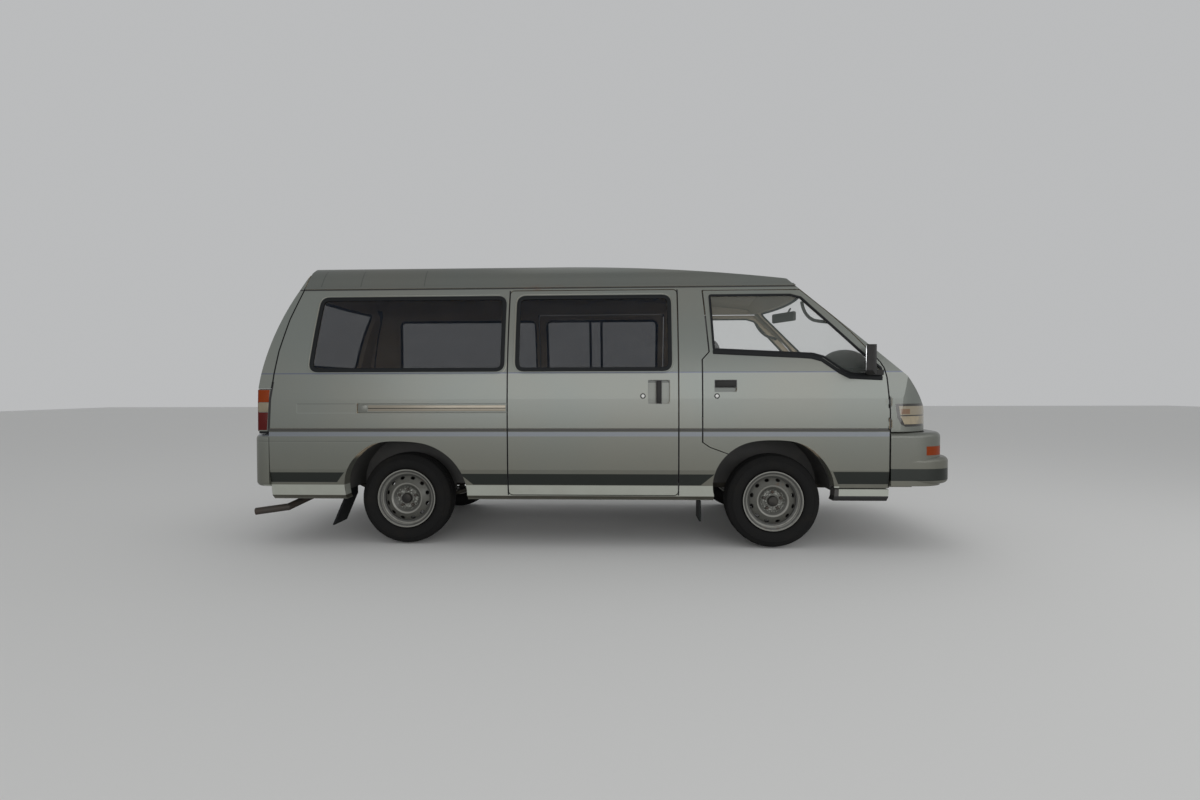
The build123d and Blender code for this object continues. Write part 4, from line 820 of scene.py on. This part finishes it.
# Front and rear window: corners in Y and Z, surface, its offset, width of the rubber, name and body
END_WINDOWS = ((SCREEN, screen_x, 0.001, 0.026, "windscreen_rubber", "body"),
               (BACKLIGHT, back_x, -0.001, 0.028, "backlight_rubber", "tailgate"))
for corners, surface, lift, width, name, body in END_WINDOWS:
    line = [(surface(y, z) + lift, y, z) for y, z in rounded(grown(corners, 0.008), 0.065)]
    done(hoop(line, width, 0.010, 0.003), name, body, *RUBBER)


# ---- tyres, nuts and centre caps
HALF_TREAD = ((0.1785, 0.0620), (0.1955, 0.0632), (0.1985, 0.0735), (0.2040, 0.0790), (0.2120, 0.0850),
              (0.2260, 0.0905), (0.2460, 0.0928), (0.2600, 0.0916), (0.2640, 0.0930), (0.2680, 0.0905),
              (0.2800, 0.0858), (0.2900, 0.0792), (0.2980, 0.0740), (0.3030, 0.0690), (0.3060, 0.0610),
              (0.3078, 0.0440), (0.3010, 0.0425), (0.3010, 0.0375), (0.3083, 0.0360), (0.3094, 0.0150),
              (0.3025, 0.0138), (0.3025, 0.0080), (0.3098, 0.0068))
TREAD_STEPS = 90
TREAD_FLOOR = 0.3015
RIB_EDGE = 0.041
SHOULDER = 0.072
SLOT_RIM = 0.0035
SLOT_DEPTH = 0.0055


def make_tyre(name, x, y, body):
    """Tyre with ringed walls, two pairs of grooves and slots across the tread."""
    out = math.copysign(1.0, y)
    profile = [*HALF_TREAD] + [(reach, -along) for reach, along in reversed(HALF_TREAD)]
    piece = turned(profile, (x, y, WHEEL_Z), (0, out, 0), (0, 0, 1), TREAD_STEPS)
    deselect()
    for vertex in piece.data.vertices:
        vertex.select = False
    for face in piece.data.polygons:
        place = face.center - Vector((x, y, WHEEL_Z))
        reach = math.hypot(place.x, place.z)
        turn = int((math.atan2(place.z, place.x) / (2 * math.pi) + 1) * TREAD_STEPS + 0.5) % 3
        rib = 0 if abs(place.y) > RIB_EDGE else 1
        on_tread = reach > TREAD_FLOOR and abs(place.y) < SHOULDER
        face.select = on_tread and turn == rib and abs(face.normal.y) < 0.75
    edit(piece, "FACE", keep=True)
    bpy.ops.mesh.inset(thickness=SLOT_RIM, depth=0.0)
    bpy.ops.transform.shrink_fatten(value=-SLOT_DEPTH)
    leave()
    outwards(piece)
    done(piece, f"{name}_treaded", body, "tyre", tyre_rubber, 32)
    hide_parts(name)


CAP = ((0.0, 0.0), (0.033, 0.0), (0.0345, 0.006), (0.0335, 0.020), (0.0300, 0.0255), (0.0180, 0.0290),
       (0.0, 0.0300))
NUT_REACH = 0.05715
for end, base, track in (("front", AXLE_F, 0.700), ("rear", AXLE_R, 0.648)):
    for name, side in SIDES:
        body = f"wheel_{end}_{name}"
        make_tyre(f"tyre_{end}_{name}", base, side * track, body)
        cap = turned(CAP, (base, side * (track + 0.053), WHEEL_Z), (0, side, 0), (0, 0, 1), 32)
        done(cap, f"wheel_cap_{end}_{name}", body, *BLACK)
        for index in range(5):
            angle = math.radians(90 + 72 * index)
            spot = (base + NUT_REACH * math.cos(angle), side * (track + 0.046),
                    WHEEL_Z + NUT_REACH * math.sin(angle))
            nut = begin("cylinder", vertices=6, radius=0.0105, depth=0.022, location=spot,
                        rotation=(math.pi / 2, 0, 0))
            settle()
            ease(nut, 0.0022)
            done(nut, f"wheel_nut_{end}_{name}_{index + 1}", body, *STEEL, 30)


# ---- door handles and locks
def side_block(name, body, finish, run, rise, level, out, depth, edge):
    """Block let into the body side over a run of X and a rise, its faces out before and depth behind."""
    y = -side_y(level)
    both_sides(slab((run[0], y - out, rise[0]), (run[1], y + depth, rise[1]), edge), name, body, *finish)


side_block("door_handle", "door_right", BLACK, (0.772, 0.903), (1.0545, 1.0965), 1.076, 0.009, 0.004, 0.006)
side_block("sliding_door_handle", "body", BLACK, (0.3955, 0.4265), (0.952, 1.096), 1.02, 0.008, 0.004, 0.006)
LOCK = ((0.0, -0.004), (0.0105, -0.004), (0.0110, 0.002), (0.0095, 0.0045), (0.0040, 0.0050),
        (0.0030, 0.0030), (0.0, 0.0030))
LOCK_RING = ((0.0115, -0.004), (0.0165, -0.004), (0.0170, 0.0015), (0.0150, 0.0030), (0.0118, 0.0025))
for name, x, z, body in (("door_lock", 0.7815, 0.997, "door_right"),
                         ("sliding_door_lock", 0.3085, 0.998, "body")):
    spot = (x, -side_y(z), z)
    # Painted highlight: the chrome lock faces take the pale plate finish in place of their reflections
    both_sides(turned(LOCK, spot, (0, -1, 0), (0, 0, 1), 24), name, body, "bare_steel", plate_white_and_lock_highlight)
    both_sides(turned(LOCK_RING, spot, (0, -1, 0), (0, 0, 1), 24), f"{name}_ring", body, *RUBBER)

# Cover of the sliding door's track, with its end cap and the dark line along it
TRACK_Z = 0.92
COVER_RUN = (-1.487, -0.580)
side_block("track_cover", "body", BRIGHT, COVER_RUN, (0.901, 0.942), TRACK_Z, 0.0015, 0.006, 0.003)
side_block("track_end_cap", "body", ("body_paint", bumper_paint_shaded), (-1.553, -1.491), (0.899, 0.944), TRACK_Z,
           0.0025, 0.006, 0.004)
side_block("track_line", "body", RUBBER, COVER_RUN, (0.9190, 0.9235), TRACK_Z, 0.0024, 0.004, 0.0008)

# Two uprights of the sliding pane in the left door's window
for index, x in enumerate((-0.115, -0.015)):
    levels = [REAR_WINDOW[0][1] + 0.07 * k for k in range(8)]
    bar = ribbon([(x, side_y(z) - 0.001, z) for z in levels], (0.022, 0, 0), 0.012, 0.002)
    done(bar, f"window_upright_left_{index + 1}", "body", *RUBBER)

# ---- lamps
TAIL_ZONES = (("amber", 0.9615, 1.0440, amber), ("clear", 0.8985, 0.9590, clear_lens),
              ("red", 0.7785, 0.8960, red))


def risen(low_points, high_points, edge=0.003):
    """Solid between a lower outline and the same outline as it is higher up."""
    piece = closed_line(low_points)
    edit(piece, "FACE")
    bpy.ops.mesh.extrude_region_move(TRANSFORM_OT_translate={"value": (0, 0, 0.02)})
    leave()
    for vertex in [vertex for vertex in piece.data.vertices if vertex.select]:
        near = min(range(len(low_points)), key=lambda k: (vertex.co.xy - Vector(low_points[k]).xy).length)
        vertex.co = high_points[near]
    outwards(piece)
    ease(piece, edge, 3, 35)
    return piece


def lens_outline(z):
    """Plan of a rear lamp round the body's right rear corner, its front edge leaning forward."""
    out = side_y(z) + 0.0018
    front = -2.1607 + 0.071 * (z - 0.8125)
    return [(front, -out, z), (-2.219, -out, z), (-2.2265, -out + 0.006, z), (-2.2615, -0.627, z),
            (-2.230, -0.627, z), (-2.195, -0.800, z), (front, -0.815, z)]


def seal_outline(z, front):
    """Plan of the dark filler between a rear lamp and what lies above or below it."""
    out = side_y(z) - 0.003
    return [(front, -out, z), (-2.214, -out, z), (-2.221, -out + 0.006, z), (-2.250, -0.680, z),
            (-2.215, -0.680, z), (-2.180, -0.790, z), (front, -0.800, z)]


for zone, low, high, finish in TAIL_ZONES:
    both_sides(risen(lens_outline(low), lens_outline(high)), f"tail_lamp_{zone}", "body", "red_lens", finish)
for place, low, high, front in (("upper", 1.0340, 1.0505, -2.124), ("lower", 0.7560, 0.7800, -2.160)):
    filler = risen(seal_outline(low, front), seal_outline(high, front), 0.002)
    both_sides(filler, f"tail_lamp_{place}_seal", "body", *RUBBER)


def lamp_bowl(name, place, radius, depth):
    """Reflector dish with a bulb in its middle, facing forward."""
    dish = ((0.0, -depth), (radius * 0.45, -depth * 0.86), (radius * 0.8, -depth * 0.5), (radius, 0.0),
            (radius * 1.04, 0.0), (radius * 0.84, -depth * 0.55), (radius * 0.48, -depth * 0.93),
            (0.0, -depth - 0.004))
    bowl = turned(dish, place, (1, 0, 0), (0, 0, 1), 32)
    both_sides(bowl, f"{name}_dish", "body", *MIRROR)
    bulb = ((0.0, -depth), (0.010, -depth), (0.010, -0.022), (0.007, -0.014), (0.0, -0.011))
    glass = turned(bulb, place, (1, 0, 0), (0, 0, 1), 16)
    both_sides(glass, f"{name}_bulb", "body", "lamp_glass", lamp_glass)


lamp_bowl("headlamp", (AXLE_F + 0.985, -0.530, 0.875), 0.060, 0.050)
lamp_bowl("headlamp_inner", (AXLE_F + 1.010, -0.440, 0.875), 0.045, 0.040)

# ---- plates, wipers and tailgate fittings
PLATE_HALF = 0.165
# Plates: end, body, X of the plate's back and of its frame, low, high, then the frame's margin and width
PLATES = (("front", "body", 2.3425, 2.3450, 0.440, 0.600, 0.005, 0.010),
          ("rear", "tailgate", TAIL_X - 0.0045, TAIL_X - 0.0035, 0.835, 1.000, 0.006, 0.011))
for end, body, x, frame_x, low, high, margin, width in PLATES:
    plate = slab((x, -PLATE_HALF, low), (x + 0.003, PLATE_HALF, high), 0.0012)
    done(plate, f"number_plate_{end}", body, "bumper", plate_white_and_lock_highlight)
    wide = PLATE_HALF + margin
    corners = ((-wide, low - margin), (wide, low - margin), (wide, high + margin), (-wide, high + margin))
    surround = hoop([(frame_x, y, z) for y, z in rounded(corners, 0.008)], width, margin)
    done(surround, f"number_plate_frame_{end}", body, *BLACK)
hood = slab((TAIL_X - 0.020, -0.190, 1.032), (TAIL_X + 0.010, 0.190, 1.070), 0.009)
done(hood, "tailgate_plate_lamp", "tailgate", *BLACK)
pull = slab((TAIL_X - 0.014, -0.070, 0.795), (TAIL_X + 0.006, 0.070, 0.822), 0.006)
done(pull, "tailgate_handle", "tailgate", *BLACK)

ARM = ((0.0, 0.0), (0.020, 0.002), (0.140, 0.018), (0.300, 0.022), (0.420, 0.014))
ARM_FOOT = ((0.0, -0.01), (0.013, -0.01), (0.012, 0.012), (0.006, 0.016), (0.0, 0.016))
ARM_Z = 1.205


def on_screen(y, z, lift=0.0):
    return (screen_x(y, z) + lift, y, z)


for name, start in (("right", -0.520), ("left", 0.060)):
    path = [on_screen(start + along, ARM_Z + rise, 0.012) for along, rise in ARM]
    done(tube(path, 0.0045), f"wiper_arm_{name}", "body", *BLACK)
    blade = [on_screen(start + 0.05 + 0.09 * k, ARM_Z + 0.027 + 0.006 * k, 0.006) for k in range(6)]
    done(ribbon(blade, (0.006, 0, 0.008), 0.006), f"wiper_blade_{name}", "body", *RUBBER)
    pivot = turned(ARM_FOOT, on_screen(start, ARM_Z), (0.75, 0, 0.66), (0, 1, 0), 20)
    done(pivot, f"wiper_pivot_{name}", "body", *BLACK)

# ---- mirrors
face = slab((-0.002, -0.080, -0.075), (0.002, 0.080, 0.075), 0.0012)
face.rotation_euler = (0, 0, math.radians(-21))
face.location = (AXLE_F + 0.5185, -0.958, 1.228)
both_sides(face, "mirror_glass", "door_right", *MIRROR)
screen_mirror = slab((-0.014, -0.125, -0.036), (0.014, 0.125, 0.036), 0.012)
screen_mirror.rotation_euler = (0, 0, math.radians(27))
screen_mirror.location = (1.418, 0, 1.590)
done(screen_mirror, "inside_mirror", "body", *PLASTIC)
stalk = tube([(1.424, 0, 1.592), (1.450, 0, 1.625), on_screen(0, 1.660, -0.012)], 0.007)
done(stalk, "inside_mirror_stalk", "body", *PLASTIC)

# ---- cab fittings
GRAB_HANDLE = ((1.355, -0.700, 1.612), (1.372, -0.668, 1.560), (1.430, -0.650, 1.500), (1.490, -0.652, 1.488),
               (1.530, -0.700, 1.478))
both_sides(tube(GRAB_HANDLE, 0.011, 12), "grab_handle_front", "body", *PLASTIC)
hood_dome = begin("uv_sphere", segments=32, ring_count=16, radius=1.0,
                  location=(AXLE_F + 0.585, -0.375, 1.205))
hood_dome.scale = (0.150, 0.215, 0.111)
settle()
edit(hood_dome)
bpy.ops.mesh.bisect(plane_co=(0, 0, 1.180), plane_no=(0, 0, 1), clear_inner=True, use_fill=True)
leave()
done(hood_dome, "instrument_hood", "body", *PLASTIC)
boot = turned(((0.0, 0.0), (0.060, 0.0), (0.052, 0.020), (0.036, 0.050), (0.020, 0.080), (0.0, 0.084)),
              (AXLE_F + 0.36, -0.02, 0.752), (0, 0, 1), (0, 1, 0), 24)
done(boot, "gear_lever_boot", "body", "interior_plastic", gasket)
lever = tube([(AXLE_F + 0.36, -0.02, 0.82), (AXLE_F + 0.375, -0.025, 0.95),
              (AXLE_F + 0.365, -0.035, 1.075)], 0.008)
done(lever, "gear_lever", "body", *STEEL)
KNOB_AT = (AXLE_F + 0.365, -0.035, 1.085)
knob = begin("uv_sphere", segments=20, ring_count=12, radius=0.024, location=KNOB_AT)
edit(knob)
bpy.ops.transform.resize(value=(1, 1, 1.25), center_override=KNOB_AT)
leave()
done(knob, "gear_knob", "body", *PLASTIC)

# Trim of the front doors, inside: name, low corner, high corner, edge, slot and finish
DOOR_TRIM = (("door_armrest", (0.960, -0.7950, 0.930), (1.330, -0.7350, 0.968), 0.012, PLASTIC),
             ("door_trim", (0.740, -0.8010, 0.770), (1.560, -0.7840, 1.060), 0.007,
              ("interior_plastic", trim_cloth)),
             ("door_pocket", (0.880, -0.7900, 0.785), (1.480, -0.7480, 0.875), 0.010, PLASTIC))
for name, low, high, edge, finish in DOOR_TRIM:
    both_sides(slab(low, high, edge), name, "door_right", *finish)
CRANK_HUB = ((0.0, 0.0), (0.022, 0.0), (0.020, 0.010), (0.012, 0.022), (0.0, 0.022))
CRANK_ARM = ((1.430, -0.768, 0.960), (1.410, -0.764, 0.925), (1.395, -0.758, 0.895))
both_sides(turned(CRANK_HUB, (1.430, -0.7850, 0.960), (0, 1, 0), (0, 0, 1), 20), "window_crank_hub",
           "door_right", *PLASTIC)
both_sides(tube(CRANK_ARM, 0.006), "window_crank_arm", "door_right", *BRIGHT)
release = slab((1.530, -0.7900, 1.000), (1.610, -0.7720, 1.030), 0.006)
both_sides(release, "door_release", "door_right", *PLASTIC)


# ---- seats and mattress
def pad(low, high, edge, voxel, swell, cap, channels=(), across=1, lean=0.0, at=None):
    """Foam under cloth: a block blown up a little by a cloth simulation and sewn along its channels."""
    piece = block(low, high)
    ease(piece, edge, 4, 40)
    modify(piece, "REMESH", mode="VOXEL", voxel_size=voxel)
    rest = [vertex.co.copy() for vertex in piece.data.vertices]
    pick(piece)
    cloth = piece.modifiers.new("swell", "CLOTH")
    cloth.settings.quality = 4
    cloth.settings.use_pressure = True
    cloth.settings.uniform_pressure_force = swell
    cloth.settings.effector_weights.gravity = 0
    cloth.point_cache.frame_start = 1
    cloth.point_cache.frame_end = 14
    for step in range(1, 15):
        bpy.context.scene.frame_set(step)
    bpy.ops.object.modifier_apply(modifier="swell")
    bpy.context.scene.frame_set(1)
    for vertex, start in zip(piece.data.vertices, rest):
        moved = vertex.co - start
        if moved.length > cap:
            vertex.co = start + moved.normalized() * cap
        dark_line = sum(math.exp(-((start[across] - line) / (voxel * 0.9)) ** 2) for line in channels)
        vertex.co -= vertex.normal * min(1.0, dark_line) * voxel * 0.55
    modify(piece, "SUBSURF", levels=1, render_levels=1)
    if lean:
        edit(piece)
        bpy.ops.transform.rotate(value=lean, orient_axis="Y", center_override=at)
        leave()
    return piece


def sit(piece, name, slot, finish):
    """A finished pad and its twin on the other side."""
    done(piece, f"{name}_right", "body", slot, finish, 60)
    twin = other_side(piece, f"{name}_left", "body", slot)
    return piece


SEAT_X = AXLE_F - 0.035
BACK_LEAN = math.radians(14.8)
SEAT_CHANNELS = (-0.520, -0.430, -0.330, -0.240)
cushion = pad((SEAT_X - 0.215, -0.624, 0.785), (SEAT_X + 0.265, -0.136, 0.908), 0.040, 0.014,
              4.0, 0.012, SEAT_CHANNELS)
sit(cushion, "seat_cushion", "seat_fabric", seat_cloth)
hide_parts("front_seats")
BACK_AT = (AXLE_F - 0.3175, -0.380, 1.150)
backrest = pad((BACK_AT[0] - 0.037, -0.622, 0.905), (BACK_AT[0] + 0.037, -0.138, 1.385), 0.030,
               0.014, 4.0, 0.010, SEAT_CHANNELS, 1, BACK_LEAN, BACK_AT)
sit(backrest, "seat_back", "seat_fabric", seat_cloth)
HEAD_AT = (AXLE_F - 0.3955, -0.380, 1.475)
headrest = pad((HEAD_AT[0] - 0.028, -0.490, 1.398), (HEAD_AT[0] + 0.028, -0.270, 1.552), 0.024,
               0.010, 4.0, 0.006, (), 1, BACK_LEAN * 0.7, HEAD_AT)
sit(headrest, "headrest", "seat_fabric", seat_cloth)
base = slab((SEAT_X - 0.225, -0.630, 0.7545), (SEAT_X + 0.255, -0.130, 0.792), 0.008)
both_sides(base, "seat_base", "body", *PLASTIC)
STALK = ((AXLE_F - 0.365, 1.340), (AXLE_F - 0.380, 1.400), (AXLE_F - 0.392, 1.455))
for index, y in enumerate((-0.430, -0.330)):
    both_sides(tube([(x, y, z) for x, z in STALK], 0.006), f"headrest_stalk_{index + 1}", "body", *STEEL)
bed = pad((-2.088, -0.712, 0.9665), (-0.674, 0.712, 1.038), 0.024, 0.020, 3.0, 0.007,
          (-1.75, -1.38, -1.01), 0)
done(bed, "mattress_pad", "body", "mattress_fabric", mattress_cloth, 60)
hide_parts("mattress")


# ---- stage, light and camera
def stage_material(name, colour):
    made, tree, shader = material(name, roughness=0.9)
    shader.inputs["Base Color"].default_value = colour
    shader.inputs["Specular IOR Level"].default_value = 0.1
    return made


bpy.ops.mesh.primitive_plane_add(size=60, location=(0, 0, 0))
floor = bpy.context.object
floor.name = "ground"
floor.data.materials.append(stage_material("pale_ground", (0.72, 0.72, 0.71, 1)))

world = bpy.data.worlds.new("studio")
bpy.context.scene.world = world
world.use_nodes = True
sky = world.node_tree.nodes["Background"]
sky.inputs["Color"].default_value = (0.90, 0.91, 0.92, 1)
sky.inputs["Strength"].default_value = 0.55


def area_light(name, place, target, size, power):
    lamp = bpy.data.lights.new(name, "AREA")
    lamp.shape = "RECTANGLE"
    lamp.size, lamp.size_y = size
    lamp.energy = power
    piece = bpy.data.objects.new(name, lamp)
    bpy.context.scene.collection.objects.link(piece)
    piece.location = place
    piece.rotation_euler = (Vector(target) - Vector(place)).to_track_quat("-Z", "Y").to_euler()


area_light("key", (2.2, -10.5, 2.3), (0.5, 0, 1.2), (16, 3.4), 470)
area_light("top", (0.5, 0, 7.0), (0, 0, 0), (6, 4), 40)
area_light("fill", (6.0, -3.0, 3.0), (0.5, 0, 0.8), (3, 3), 25)

CAMERA = Vector((0.1883, -4.7785, 1.050))
YAW, PITCH, ROLL = math.radians(2.268), math.radians(1.122), math.radians(-0.16)
look = Vector((-math.sin(YAW) * math.cos(PITCH), math.cos(YAW) * math.cos(PITCH), -math.sin(PITCH)))
flat_right = Vector((math.cos(YAW), math.sin(YAW), 0))
flat_up = flat_right.cross(look)
right = math.cos(ROLL) * flat_right + math.sin(ROLL) * flat_up
up = -math.sin(ROLL) * flat_right + math.cos(ROLL) * flat_up
camera = bpy.data.cameras.new("camera")
camera.sensor_width = 36
camera.lens = 18.35
holder = bpy.data.objects.new("camera", camera)
bpy.context.scene.collection.objects.link(holder)
turn = Matrix((right, up, -look)).transposed().to_4x4()
holder.matrix_world = Matrix.Translation(CAMERA) @ turn
bpy.context.scene.camera = holder
bpy.context.scene.view_settings.view_transform = "Standard"

low, high = cad_box
